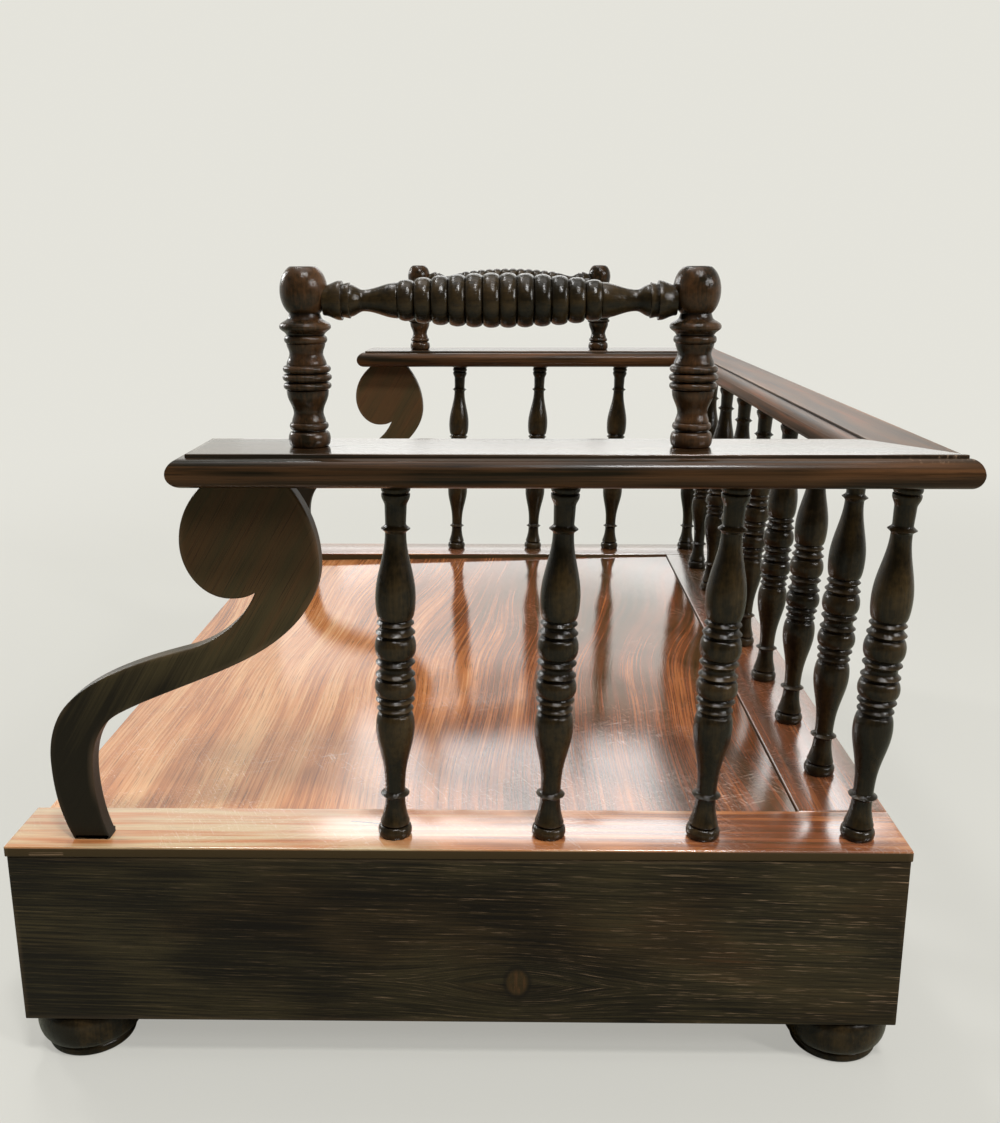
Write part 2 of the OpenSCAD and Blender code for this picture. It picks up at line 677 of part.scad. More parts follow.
module drawer_knob(s) color(dark_wood) {
    translate([s * knob_x, face_y, knob_z]) rotate([90, 0, 0]) turned(knob_outline());
    knob_spigot(s);
}
module drawer_knob_right() drawer_knob(1);
module drawer_knob_left() drawer_knob(-1);

end_panel_right();
end_panel_left();
back_panel();
bottom_board();
dust_board();
bed_panel();
cleat_right();
cleat_left();
back_border();
glue_blocks();
drawer_runner_right();
drawer_runner_left();
drawer_stops();
foot_front_right();
foot_front_left();
foot_back_right();
foot_back_left();
scroll_right();
scroll_left();
rail_right();
rail_left();
rail_back();
handle_post_right_front();
handle_post_right_back();
handle_post_left_front();
handle_post_left_back();
handle_bar_right();
handle_bar_left();
drawer_front();
drawer_side_right();
drawer_side_left();
drawer_back();
drawer_bottom();
drawer_knob_right();
drawer_knob_left();
for (i = [1:end_n]) {
    spindle(end_rows[i - 1], end_heads[i - 1]);
    spindle(across(end_rows[i - 1]), across(end_heads[i - 1]));
}
for (i = [1:back_spaces + 1])
    spindle(back_row[i - 1], back_heads[i - 1]);
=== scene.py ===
"""Looks of a rosewood book trough: turned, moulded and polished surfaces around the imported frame.

Run as a script, it registers its operators, calls them in order and leaves a dressed trough on a plain stage.
Lengths in the tables are millimetres, and meshes are in metres in the frame's own axes.
"""
import math

import bpy
import numpy as np
from bpy.props import FloatProperty, FloatVectorProperty, IntProperty, PointerProperty
from mathutils import Matrix, Vector


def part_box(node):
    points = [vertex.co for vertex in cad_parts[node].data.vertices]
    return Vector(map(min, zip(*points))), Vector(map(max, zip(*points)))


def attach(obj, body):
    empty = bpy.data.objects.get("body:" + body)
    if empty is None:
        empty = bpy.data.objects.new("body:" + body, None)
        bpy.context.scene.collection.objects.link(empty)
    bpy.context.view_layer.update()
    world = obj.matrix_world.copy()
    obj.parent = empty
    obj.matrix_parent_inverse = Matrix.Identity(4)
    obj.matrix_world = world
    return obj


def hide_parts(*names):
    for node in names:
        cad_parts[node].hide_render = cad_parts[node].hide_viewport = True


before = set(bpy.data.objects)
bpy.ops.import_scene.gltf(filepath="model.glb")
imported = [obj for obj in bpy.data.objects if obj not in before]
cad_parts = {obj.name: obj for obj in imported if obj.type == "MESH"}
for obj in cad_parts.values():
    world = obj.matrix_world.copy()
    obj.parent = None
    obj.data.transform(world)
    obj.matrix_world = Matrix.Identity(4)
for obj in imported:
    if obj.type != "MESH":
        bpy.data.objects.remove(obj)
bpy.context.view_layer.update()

bl_info = {
    "name": "Book trough looks",
    "version": (1, 0, 0),
    "blender": (4, 5, 0),
    "location": "View3D > Sidebar > Trough",
    "description": "Dresses the packed book trough with turned, moulded and polished rosewood pieces",
    "category": "Object",
}

MM = 0.001
CARCASE, DRAWER = "carcase", "drawer"
X, Y, Z = 0, 1, 2


# Places that the frame gives

def low(node):
    """Lowest corner of a CAD node as an array, in metres."""
    return np.array(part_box(node)[0])


def high(node):
    """Highest corner of a CAD node as an array, in metres."""
    return np.array(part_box(node)[1])


def vertices_of(node):
    """All vertices of a CAD node as one array."""
    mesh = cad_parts[node].data
    points = np.empty(len(mesh.vertices) * 3)
    mesh.vertices.foreach_get("co", points)
    return points.reshape(-1, 3)


def axis_of(node):
    """Middle and direction of a turned node: the middle of its box and its vertices' longest principal axis."""
    points = vertices_of(node)
    middle = (points.min(0) + points.max(0)) / 2
    direction = np.linalg.svd(points - points.mean(0), full_matrices=False)[2][0]
    return middle, direction * np.sign(direction[np.argmax(abs(direction))])


def named(start):
    """CAD nodes whose names start alike, in order."""
    return sorted(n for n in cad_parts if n.startswith(start))


SLAB_TOP = high("cleat_right")[Z]
RAIL_UNDER = low("rail_right")[Z]
RAIL_TOP = high("rail_right")[Z]
SPINDLES = named("spindle_")
POSTS = named("handle_post_")
BARS = named("handle_bar_")
FEET = named("foot_")
KNOBS = named("drawer_knob_")


# Sizes and colours that a user may change

def length(name, about, millimetres):
    """A length property with its default given in millimetres."""
    return FloatProperty(name=name, description=about, default=millimetres * MM, min=0.0, unit="LENGTH",
                         subtype="DISTANCE", precision=5)


def colour(name, about, rgb):
    """A colour property in scene-linear values."""
    return FloatVectorProperty(name=name, description=about, default=rgb, size=3, min=0.0, max=1.0, subtype="COLOR")


class TroughSizes(bpy.types.PropertyGroup):
    """Small sizes of the dressed surfaces."""
    board_edge: length("Board edge", "Rounding along the edges of the boards", 0.45)
    scroll_edge: length("Scroll edge", "Rounding along the edges of the scroll brackets", 0.7)
    field_edge: length("Field edge", "Rounding along the raised field of the rails", 0.3)
    turning_step: length("Turning step", "Longest distance between the rings of a turned surface", 1.1)
    turning_round: length("Turning softness", "Reach of the wear that softens turned edges", 0.07)
    turning_sides: IntProperty(name="Turning sides", description="Points round a turned surface", default=52, min=12)


class TroughColours(bpy.types.PropertyGroup):
    """Wood tones from the darkest line of the grain to the palest wear, and the colours of the stage."""
    # ink also serves as painted shade on the upright step under the rails' field
    ink: colour("Ink", "Wax and dirt in the grooves", (0.006, 0.004, 0.003))
    ebony: colour("Ebony", "Darkest grain", (0.011, 0.008, 0.004))
    umber: colour("Umber", "Dark brown wood", (0.046, 0.028, 0.010))
    olive: colour("Olive", "Dull green-brown wood of the base and the scrolls", (0.050, 0.037, 0.016))
    chestnut: colour("Chestnut", "Middle brown wood", (0.100, 0.044, 0.017))
    russet: colour("Russet", "Red-brown wood", (0.200, 0.062, 0.024))
    amber: colour("Amber", "Orange-brown wood of the bed", (0.460, 0.170, 0.055))
    honey: colour("Honey", "Pale streaks of the bed and of the bare wood", (0.620, 0.340, 0.160))
    straw: colour("Straw", "Palest streaks of the cleats and of the bare wood", (0.520, 0.370, 0.205))
    # worn also lays a faint painted highlight on the turnings' crests and part of a painted sheen in the base panel's
    # flecks
    worn: colour("Worn", "Rubbed edges and flecks", (0.420, 0.270, 0.170))
    chalk: colour("Chalk", "Scratches in the polish", (0.700, 0.620, 0.540))
    floor: colour("Floor", "Plain colour of the floor and the surroundings", (0.780, 0.770, 0.710))
    shade: colour("Shade", "Part of the floor's colour that the lamps light and shade", (0.445, 0.440, 0.405))
    bounce: colour("Bounce", "Light that the floor throws back", (0.300, 0.310, 0.250))


def sizes():
    """The sizes that the scene holds."""
    return bpy.context.scene.trough_sizes


def tone(name):
    """A named colour with full alpha."""
    return tuple(getattr(bpy.context.scene.trough_colours, name)) + (1.0,)


# Meshes

def add(name, data):
    """A new object in the scene."""
    made = bpy.data.objects.new(name, data)
    bpy.context.scene.collection.objects.link(made)
    return made


def ring_faces(rings, steps):
    """Four-sided faces between neighbouring rings of a stack, each ring closed on itself."""
    start = np.arange(rings - 1)[:, None] * steps
    here, after = np.arange(steps)[None, :], (np.arange(steps)[None, :] + 1) % steps
    return np.stack([start + here, start + after, start + steps + after, start + steps + here], -1).reshape(-1, 4)


def put(node, prefix, stack, finish, body=CARCASE, fields=None, sharp=40.0):
    """Makes one piece from a stack of rings, shape (rings, steps, 3), closed by a flat face at each end.

    fields holds one number for each ring and name, kept as a point attribute for the finish to read.
    """
    rings, steps, _ = stack.shape
    faces = ring_faces(rings, steps).tolist()
    faces.append(list(range(steps))[::-1])
    faces.append(list(range((rings - 1) * steps, rings * steps)))
    mesh = bpy.data.meshes.new(prefix + node)
    mesh.from_pydata(stack.reshape(-1, 3).tolist(), [], faces)
    for name, values in (fields or {}).items():
        attribute = mesh.attributes.new(name, "FLOAT", "POINT")
        attribute.data.foreach_set("value", np.repeat(values, steps).astype(np.float32))
    mesh.polygons.foreach_set("use_smooth", np.ones(len(mesh.polygons), bool))
    mesh.set_sharp_from_angle(angle=math.radians(sharp))
    mesh.materials.append(finish)
    mesh.validate()
    piece = add(prefix + node, mesh)
    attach(piece, body)
    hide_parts(node)


# Turned shapes: profiles are arrays of [height, radius] in millimetres, listed from the foot up

def bead(z0, z1, groove, crest, n=14):
    """A swelling: the radius follows half an oval from groove to crest and back."""
    a = np.linspace(0, np.pi, n)
    return np.stack([z0 + (z1 - z0) * (1 - np.cos(a)) / 2, groove + (crest - groove) * np.sin(a)], 1)


def disc(z0, z1, groove, rim, at=0.5, n=9):
    """A thin flared ring: the radius climbs in a hollow curve to a rim at share `at` and falls back the same way."""
    s = np.linspace(0, 1, n)
    up = np.stack([z0 + (z1 - z0) * at * s, groove + (rim - groove) * s ** 1.5], 1)
    down = np.stack([z1 - (z1 - z0) * (1 - at) * s[::-1], groove + (rim - groove) * s[::-1] ** 1.5], 1)
    return np.concatenate([up, down])


def sweep(z0, z1, r0, r1, n=14, bias=1.0):
    """A smooth change of radius, level at both ends: a cosine step, held back by a bias over 1."""
    s = np.linspace(0, 1, n)
    return np.stack([z0 + (z1 - z0) * s, r0 + (r1 - r0) * (1 - np.cos(np.pi * s ** bias)) / 2], 1)


def shoulder(z0, z1, r0, r1, n=10):
    """A quarter oval that leaves radius r0 upright and turns in to radius r1."""
    a = np.linspace(0, np.pi / 2, n)
    return np.stack([z0 + (z1 - z0) * np.sin(a), r1 + (r0 - r1) * np.cos(a)], 1)


def trumpet(z0, z1, r0, r1, n=12):
    """A hollow flare: the radius falls from r0 to r1 by the square of what is left of the way."""
    s = np.linspace(0, 1, n)
    return np.stack([z0 + (z1 - z0) * s, r1 + (r0 - r1) * (1 - s) ** 2], 1)


def soften(profile):
    """Walks the profile in equal fine steps and averages each point with its neighbours, weighted by a bell curve.

    Keeps a point after each turning step, or sooner where the direction has changed by a bend in radians. Returns
    the kept points with two shares for each: how deep it lies in a groove and how proud it stands.
    """
    fine, longest, reach = 0.06, sizes().turning_step / MM, sizes().turning_round / MM
    bend, around, deepest, proudest = 0.24, 1.3, 0.55, 0.45
    run = np.concatenate([[0], np.cumsum(np.linalg.norm(np.diff(profile, axis=0), axis=1))])
    at = np.arange(0, run[-1], fine)
    walked = np.stack([np.interp(at, run, profile[:, k]) for k in (0, 1)], 1)

    def smooth(values, sigma):
        half = max(1, int(3 * sigma / fine))
        weight = np.exp(-0.5 * (np.arange(-half, half + 1) * fine / sigma) ** 2)
        return np.convolve(np.pad(values, half, mode="edge"), weight / weight.sum(), mode="valid")

    soft = np.stack([smooth(walked[:, k], reach) for k in (0, 1)], 1)
    soft[0], soft[-1] = walked[0], walked[-1]
    depth = smooth(soft[:, 1], around) - soft[:, 1]
    ahead = np.diff(soft, axis=0)
    turn = abs(np.diff(np.unwrap(np.arctan2(ahead[:, 1], ahead[:, 0]))))
    score = np.cumsum(np.concatenate([[0], fine / longest + turn / bend, [fine / longest]]))
    keep = np.unique(np.append(np.searchsorted(score, np.arange(0, score[-1])), len(soft) - 1))
    return soft[keep], np.clip(depth[keep] / deepest, 0, 1), np.clip(-depth[keep] / proudest, 0, 1)


def turned(profile, foot, direction):
    """Stack of rings: each profile point makes a circle about the axis that starts at foot.

    A point is foot + R (radius cos a, radius sin a, height), where R turns the upright axis into the direction.
    """
    a = np.linspace(0, 2 * np.pi, sizes().turning_sides, endpoint=False)
    height, radius = profile[:, :1] * MM, profile[:, 1:] * MM
    local = np.stack([radius * np.cos(a), radius * np.sin(a), height + 0 * a], -1)
    turn = np.array(Vector((0, 0, 1)).rotation_difference(Vector(direction)).to_matrix())
    return foot + local @ turn.T


def put_turned(node, profile, foot, direction, finish, body=CARCASE):
    """Makes a turned piece with its groove and crest shares."""
    soft, groove, crest = soften(profile)
    put(node, "turned_", turned(soft, foot, direction), finish, body,
        {"groove": groove, "crest": crest}, sharp=60.0)


# Lengths over which the profiles are drawn, and the part of a bar that its balls hide
SPINDLE_H, FOOT_H, KNOB_OUT, BAR_HIDDEN = 114.4, 16.2, 12.5, 13.2


def spindle_profile(h):
    """Toe, bell, thin ring, vase, ring cluster, vase, thin ring, cup and capital over a length h."""
    drawn = np.concatenate([
        [[-0.8, 3.9]], bead(-0.4, 3.9, 3.9, 5.3, 18), [[4.0, 3.95]], [[4.2, 3.95]], [[4.4, 4.55]], [[4.8, 4.6]],
        trumpet(4.9, 13.2, 4.55, 3.1), disc(13.2, 15.5, 3.1, 4.5), sweep(15.6, 36.8, 3.1, 5.95, 20, 1.3),
        shoulder(36.8, 41.6, 5.95, 4.9),
        disc(41.8, 44.3, 4.7, 5.6), disc(44.4, 47.2, 4.8, 5.95, 0.55), bead(47.3, 52.9, 4.9, 6.3),
        disc(52.9, 55.6, 4.8, 6.05, 0.45), [[56.0, 4.8]], disc(56.4, 59.3, 4.8, 6.0, 0.55),
        bead(59.6, 66.3, 4.9, 6.25), disc(66.3, 69.0, 4.8, 6.0, 0.45), disc(69.2, 71.8, 4.6, 5.65),
        shoulder(71.9, 78.4, 6.0, 4.9)[::-1] * [-1, 1] + [150.3, 0], sweep(78.4, 98.3, 6.0, 3.1, 20),
        disc(98.3, 100.7, 3.1, 4.35), sweep(100.7, 106.2, 3.05, 3.2), sweep(106.2, 109.4, 3.2, 4.2), [[109.9, 4.2]],
        [[110.3, 3.7]], bead(110.4, 112.6, 3.7, 4.3), bead(112.7, 114.4, 4.0, 4.65), [[114.6, 4.0]]])
    return drawn * [h / MM / SPINDLE_H, 1]


def post_profile():
    """Toe, bead, trumpet, three rings, cove, bead, disc and a barrel-shaped ball with a flat top."""
    a = np.radians(np.linspace(-56, 64, 28))
    ball = np.stack([43.2 + 7.34 * np.sin(a), 6.62 * np.cos(a) ** 0.75], 1)
    return np.concatenate([
        [[0.0, 5.2]], bead(0.0, 4.4, 4.9, 5.95), [[4.6, 4.6]], bead(4.8, 7.0, 4.6, 5.5), sweep(7.0, 9.6, 4.8, 4.2),
        sweep(9.6, 15.3, 4.2, 5.85), [[15.9, 5.95]], [[16.1, 5.3]],
        bead(16.1, 18.3, 5.5, 6.72, 10), bead(18.4, 20.7, 5.5, 6.9, 10), bead(20.8, 23.0, 5.5, 6.72, 10),
        sweep(23.1, 26.2, 5.6, 4.7), sweep(26.2, 28.9, 4.7, 5.4), bead(28.9, 31.2, 5.1, 6.0),
        [[31.3, 5.2]], sweep(31.4, 33.3, 5.4, 7.15, 8), [[33.9, 7.15]], sweep(34.0, 36.1, 7.0, 4.6, 10), ball])


def bar_profile(span):
    """Collar, second collar, taper, neck and cone at each end of a row of twelve rings that swells to the middle."""
    half, pitch, count = span / 2, 4.7, 12
    first = -pitch * count / 2
    end = np.concatenate([
        [[-half - 1.2, 4.0]], sweep(-half - 1.0, -half + 3.6, 4.1, 5.42), [[-half + 4.0, 5.42]], [[-half + 4.1, 4.5]],
        sweep(-half + 4.2, -half + 6.2, 4.55, 4.9, 6), [[-half + 6.3, 4.5]],
        sweep(-half + 6.3, -half + 10.0, 4.4, 2.95), sweep(-half + 10.0, first, 2.95, 4.9)])
    rings = [bead(first + i * pitch, first + (i + 1) * pitch, r - 1.15, r)
             for i, r in enumerate(5.65 + 1.85 * (1 - np.linspace(-1, 1, count) ** 2))]
    return np.concatenate([end, *rings, end[::-1] * [-1, 1]])


def foot_profile(h):
    """A low turned base under a flattened bun, over a height h."""
    a = np.linspace(0, np.pi, 40)
    bun = np.stack([3.4 + 12.8 * (1 - np.cos(a)) / 2, 12.0 + 5.0 * np.sin(a) ** 0.62], 1)
    drawn = np.concatenate([bead(0.0, 3.2, 13.0, 14.0), bun])
    return drawn * [h / MM / FOOT_H, 1]


def knob_profile(out):
    """Foot ring, hollow neck and a mushroom head with a small raised middle, standing out by a given length."""
    drawn = np.concatenate([
        [[-0.4, 4.2]], bead(0.0, 2.0, 4.2, 4.8), sweep(2.0, 4.0, 4.0, 3.3), sweep(4.0, 6.0, 3.3, 4.9),
        bead(6.0, 10.4, 5.0, 8.0, 20), shoulder(9.9, 12.0, 5.4, 2.4), shoulder(11.9, 12.5, 2.2, 1.2)])
    return drawn * [out / MM / KNOB_OUT, 1]


# Moulded and flat shapes

def inset(plan, moved, distances):
    """Plan corners for each distance, shape (distances, corners, 2): the edges marked in moved go inwards.

    A corner stays where its two edges cross, so it moves along a straight line as the distance grows.
    """
    edge = np.roll(plan, -1, 0) - plan
    inward = np.stack([-edge[:, 1], edge[:, 0]], 1) / np.linalg.norm(edge, axis=1, keepdims=True)
    pair = np.stack([np.roll(inward, 1, 0), inward], 1)
    shift = np.stack([np.roll(moved, 1), moved], 1).astype(float)
    return plan + np.asarray(distances)[:, None, None] * np.linalg.solve(pair, shift[..., None])[..., 0]


def rounded(plan, radius, n=4):
    """Plan whose corners are replaced by arcs: quadratic curves from one side of each corner to the other."""
    before, after = np.roll(plan, 1, 0) - plan, np.roll(plan, -1, 0) - plan
    a = plan + radius * before / np.linalg.norm(before, axis=1, keepdims=True)
    b = plan + radius * after / np.linalg.norm(after, axis=1, keepdims=True)
    t = np.linspace(0, 1, n)[None, :, None]
    return ((1 - t) ** 2 * a[:, None] + 2 * t * (1 - t) * plan[:, None] + t ** 2 * b[:, None]).reshape(-1, 2)


def stacked(corners, levels, axis):
    """Stack of rings from plan corners at each level along an axis, with the plan on the other two axes in order."""
    rings, steps, _ = corners.shape
    stack = np.empty((rings, steps, 3))
    first, second = [(Y, Z), (Z, X), (X, Y)][axis]
    stack[..., first], stack[..., second] = corners[..., 0], corners[..., 1]
    stack[..., axis] = np.asarray(levels)[:, None]
    return stack


def quarter(radius, n=5):
    """Inset and rise along a quarter round, from its inner lower end to its upright end."""
    a = np.linspace(0, np.pi / 2, n)
    return radius * (1 - np.sin(a)), radius * (1 - np.cos(a))


def put_board(node, plan, span, axis, finish, edge=None):
    """A board: its plan is carried along an axis, with rounded corners and rounded edges at both ends.

    crest is 1 on the rounded edges and falls to 0 a few millimetres inside the faces.
    """
    edge = edge or sizes().board_edge
    plan, moved = np.asarray(plan, float), np.ones(len(plan))
    d, rise = quarter(edge)
    margin = 3 * edge
    depths = np.concatenate([[edge + margin], d, [0, 0], d[::-1], [edge + margin]])
    levels = np.concatenate([[span[0]], span[0] + rise, [span[0] + edge + margin, span[1] - edge - margin],
                             span[1] - rise[::-1], [span[1]]])
    crest = np.concatenate([[0], np.ones(len(d)), [0, 0], np.ones(len(d)), [0]])
    corners = np.stack([rounded(inset(plan, moved, [depth])[0], max(edge - depth, 0.05 * edge)) for depth in depths])
    put(node, "board_", stacked(corners, levels, axis), finish, fields={"crest": crest})


def box_plan(node, axis):
    """Corners of a node's box across an axis, anticlockwise as seen from the axis's far end."""
    first, second = [(Y, Z), (Z, X), (X, Y)][axis]
    (a, b), (c, d) = low(node)[[first, second]], high(node)[[first, second]]
    return [[a, b], [c, b], [c, d], [a, d]]


def put_box_board(node, axis, finish):
    """A board that fills its node's box."""
    put_board(node, box_plan(node, axis), (low(node)[axis], high(node)[axis]), axis, finish)


def put_rail(node, plan, moved, finish):
    """A rail: half-round edge, shoulder and raised field, returned along the plan's moved edges."""
    nose, step, under, margin, edge = 8.4 * MM, 0.4 * MM, 3 * MM, 1.2 * MM, sizes().field_edge
    r, top = nose / 2, RAIL_TOP - RAIL_UNDER
    a = np.radians(np.linspace(-90, 90, 25))
    d, rise = quarter(edge)
    section = np.concatenate([
        [[r + under, 0.0]], np.stack([r - r * np.cos(a), r + r * np.sin(a)], 1), [[r + step, nose]],
        np.stack([r + step + d[::-1], top - rise[::-1]], 1), [[r + step + edge + margin, top]]])
    crest = np.concatenate([[0], 0 * a, [0], np.ones(len(d)), [0]])
    # groove marks the shoulder and the upright step under the field, which the finish inks as painted shade
    groove = np.concatenate([[0], 0 * a, [1], 0 * d, [0]])
    groove[len(a)], groove[len(a) + 2] = 0.6, 0.7
    corners = inset(np.asarray(plan, float), np.asarray(moved, float), section[:, 0])
    put(node, "moulded_", stacked(corners, RAIL_UNDER + section[:, 1], Z), finish,
        fields={"crest": crest, "groove": groove})


# Scroll outline in shares of its width and height, from the front corner of its foot: cubic curves end to end
SCROLL_CURVES = (
    ((0.588, 1.0), (0.506, 0.957), (0.459, 0.896), (0.459, 0.826)),
    ((0.459, 0.826), (0.459, 0.752), (0.529, 0.682), (0.626, 0.682)),
    ((0.626, 0.682), (0.658, 0.682), (0.687, 0.685), (0.711, 0.698)),
    ((0.711, 0.698), (0.676, 0.638), (0.588, 0.568), (0.456, 0.544)),
    ((0.456, 0.544), (0.301, 0.514), (0.102, 0.468), (0.006, 0.382)),
    ((0.006, 0.382), (-0.036, 0.345), (-0.061, 0.288), (-0.061, 0.227)),
    ((-0.061, 0.227), (-0.061, 0.140), (-0.044, 0.070), (0.0, 0.0)),
    ((0.0, 0.0), (0.044, 0.0), (0.087, 0.0), (0.131, 0.0)),
    ((0.131, 0.0), (0.102, 0.052), (0.088, 0.122), (0.088, 0.184)),
    ((0.088, 0.184), (0.088, 0.271), (0.119, 0.332), (0.199, 0.365)),
    ((0.199, 0.365), (0.324, 0.415), (0.512, 0.459), (0.660, 0.515)),
    ((0.660, 0.515), (0.816, 0.573), (0.939, 0.664), (0.939, 0.774)),
    ((0.939, 0.774), (0.939, 0.861), (0.892, 0.940), (0.819, 1.0)),
    ((0.819, 1.0), (0.742, 1.0), (0.665, 1.0), (0.588, 1.0)),
)


def scroll_outline(n=22):
    """Points of the closed outline: each cubic is the sum of its four points with Bernstein weights."""
    t = np.linspace(0, 1, n, endpoint=False)
    weights = np.stack([(1 - t) ** 3, 3 * t * (1 - t) ** 2, 3 * t ** 2 * (1 - t), t ** 3], 1)
    return (weights @ np.array(SCROLL_CURVES)).reshape(-1, 2)


def put_scroll(node, finish):
    """A scroll bracket: the outline is carried across its thickness and drawn in along its normals at both faces."""
    (x0, y0, _), (x1, y1, _) = low(node), high(node)
    shares = scroll_outline()
    outline = shares - [shares[:, 0].min(), 0]
    sunk = 0.5 * MM
    outline = outline / outline.max(0) * [y1 - y0, RAIL_UNDER - SLAB_TOP + 2 * sunk] + [y0, SLAB_TOP - sunk]
    along = np.roll(outline, -1, 0) - np.roll(outline, 1, 0)
    inward = np.stack([-along[:, 1], along[:, 0]], 1) / np.linalg.norm(along, axis=1, keepdims=True)
    edge = sizes().scroll_edge
    d, rise = quarter(edge)
    margin = 1.5 * edge
    depths = np.concatenate([[edge + margin], d, [0, 0], d[::-1], [edge + margin]])
    levels = np.concatenate([[x0], x0 + rise, [x0 + 2 * edge, x1 - 2 * edge], x1 - rise[::-1], [x1]])
    crest = np.concatenate([[0], np.ones(len(d)), [0, 0], np.ones(len(d)), [0]])
    corners = outline + depths[:, None, None] * inward
    put(node, "scroll_", stacked(corners, levels, X), finish, fields={"crest": crest})


# Shader maths

class Signal:
    """A shader socket with operators: an expression on signals and numbers adds its Math nodes."""

    def __init__(self, graph, socket):
        self.graph, self.socket = graph, socket

    def math(self, operation, *others):
        return self.graph.node("ShaderNodeMath", {"operation": operation}, dict(enumerate((self, *others))))

    def __add__(self, other):
        return self.math("ADD", other)

    def __sub__(self, other):
        return self.math("SUBTRACT", other)

    def __rsub__(self, other):
        return self.math("MULTIPLY_ADD", -1.0, other)

    def __mul__(self, other):
        return self.math("MULTIPLY", other)

    def __truediv__(self, other):
        return self.math("DIVIDE", other)

    def __pow__(self, other):
        return self.math("POWER", other)

    def __abs__(self):
        return self.math("ABSOLUTE")

    def wave(self):
        """Half of one plus the sine of the signal, in radians."""
        return self.math("SINE") * 0.5 + 0.5

    def ramp(self, start, end):
        """0 at start, 1 at end, smooth between and level beyond."""
        return self.graph.node("ShaderNodeMapRange", {"interpolation_type": "SMOOTHSTEP"},
                               {"Value": self, "From Min": start, "From Max": end})


class Graph:
    """The nodes of a material or a world: node() adds one, sets it up and returns one of its outputs as a Signal."""

    def __init__(self, owner):
        owner.use_nodes = True
        self.owner, self.tree = owner, owner.node_tree
        self.tree.nodes.clear()

    def node(self, kind, settings=None, values=None, output=0):
        made = self.tree.nodes.new(kind)
        for key, value in (settings or {}).items():
            if key == "stops":
                while len(made.color_ramp.elements) < len(value):
                    made.color_ramp.elements.new(1.0)
                for element, (place, rgba) in zip(made.color_ramp.elements, value):
                    element.position, element.color = place, rgba
            else:
                setattr(made, key, value)
        for key, value in (values or {}).items():
            if isinstance(value, Signal):
                self.tree.links.new(value.socket, made.inputs[key])
            else:
                made.inputs[key].default_value = value
        return Signal(self, made.outputs[output]) if made.outputs else made

    def place(self):
        """Object coordinates in millimetres as three signals."""
        at = self.node("ShaderNodeTexCoord", output="Object")
        scaled = self.node("ShaderNodeVectorMath", {"operation": "SCALE"}, {0: at, "Scale": 1 / MM})
        split = self.node("ShaderNodeSeparateXYZ", values={0: scaled})
        return [Signal(self, s) for s in split.socket.node.outputs]

    def noise(self, a, b, c, detail=2.0, rough=0.5):
        """Noise at a point given by three signals or numbers."""
        at = self.node("ShaderNodeCombineXYZ", values={0: a, 1: b, 2: c})
        return self.node("ShaderNodeTexNoise", values={
            "Vector": at, "Scale": 1.0, "Detail": detail, "Roughness": rough})

    def rays(self):
        """Two signals: 1 for what the camera sees, and 1 for what reflections show."""
        path = self.node("ShaderNodeLightPath").socket.node.outputs
        return Signal(self, path["Is Camera Ray"]), Signal(self, path["Is Glossy Ray"])

    def share(self, name):
        """A piece's own point attribute."""
        return self.node("ShaderNodeAttribute", {"attribute_name": name}, output="Fac")

    def wood(self, figure, stops):
        """A colour chosen by a figure: each stop is a place from 0 to 1 and the name of a tone."""
        named_stops = [(place, tone(name)) for place, name in stops]
        return self.node("ShaderNodeValToRGB", {"stops": named_stops}, {0: figure})

    def mix(self, factor, a, b, blend="MIX"):
        """Colour a turned into colour b by a factor."""
        return self.node("ShaderNodeMix", {"data_type": "RGBA", "blend_type": blend}, {0: factor, 6: a, 7: b}, 2)

    def finish(self, base, rough, bump, strength=0.25, reach=0.0006, coat=0.0, coat_rough=0.1, specular=0.5, ior=1.5,
               coat_ior=1.5):
        """Ends the tree in a Principled shader with a bump."""
        normal = self.node("ShaderNodeBump", values={"Height": bump, "Strength": strength, "Distance": reach})
        shader = self.node("ShaderNodeBsdfPrincipled", values={
            "Base Color": base, "Roughness": rough, "Normal": normal, "Coat Weight": coat,
            "Coat Roughness": coat_rough, "Coat IOR": coat_ior, "Specular IOR Level": specular, "IOR": ior})
        self.node("ShaderNodeOutputMaterial", values={"Surface": shader})
        return self.owner


def knot_share(u, w, knot, reach, stretch=2.2):
    """A bell-shaped share that is 1 at the knot: e to the minus squared distance, stretched along the grain."""
    a, b = (u - knot[0]) / (stretch * reach), (w - knot[1]) / reach
    return (a * a + b * b).math("MULTIPLY", -1.0).math("EXPONENT")


def stroke(u, v, start, end, width):
    """A short mark: 1 on the line from start to end and 0 a width away from its nearest point."""
    du, dv = end[0] - start[0], end[1] - start[1]
    a, b = u - start[0], v - start[1]
    t = ((a * du + b * dv) / (du * du + dv * dv)).math("MAXIMUM", 0.0).math("MINIMUM", 1.0)
    a, b = a - t * du, b - t * dv
    return ((a * a + b * b) ** 0.5).ramp(width, 0.3 * width)


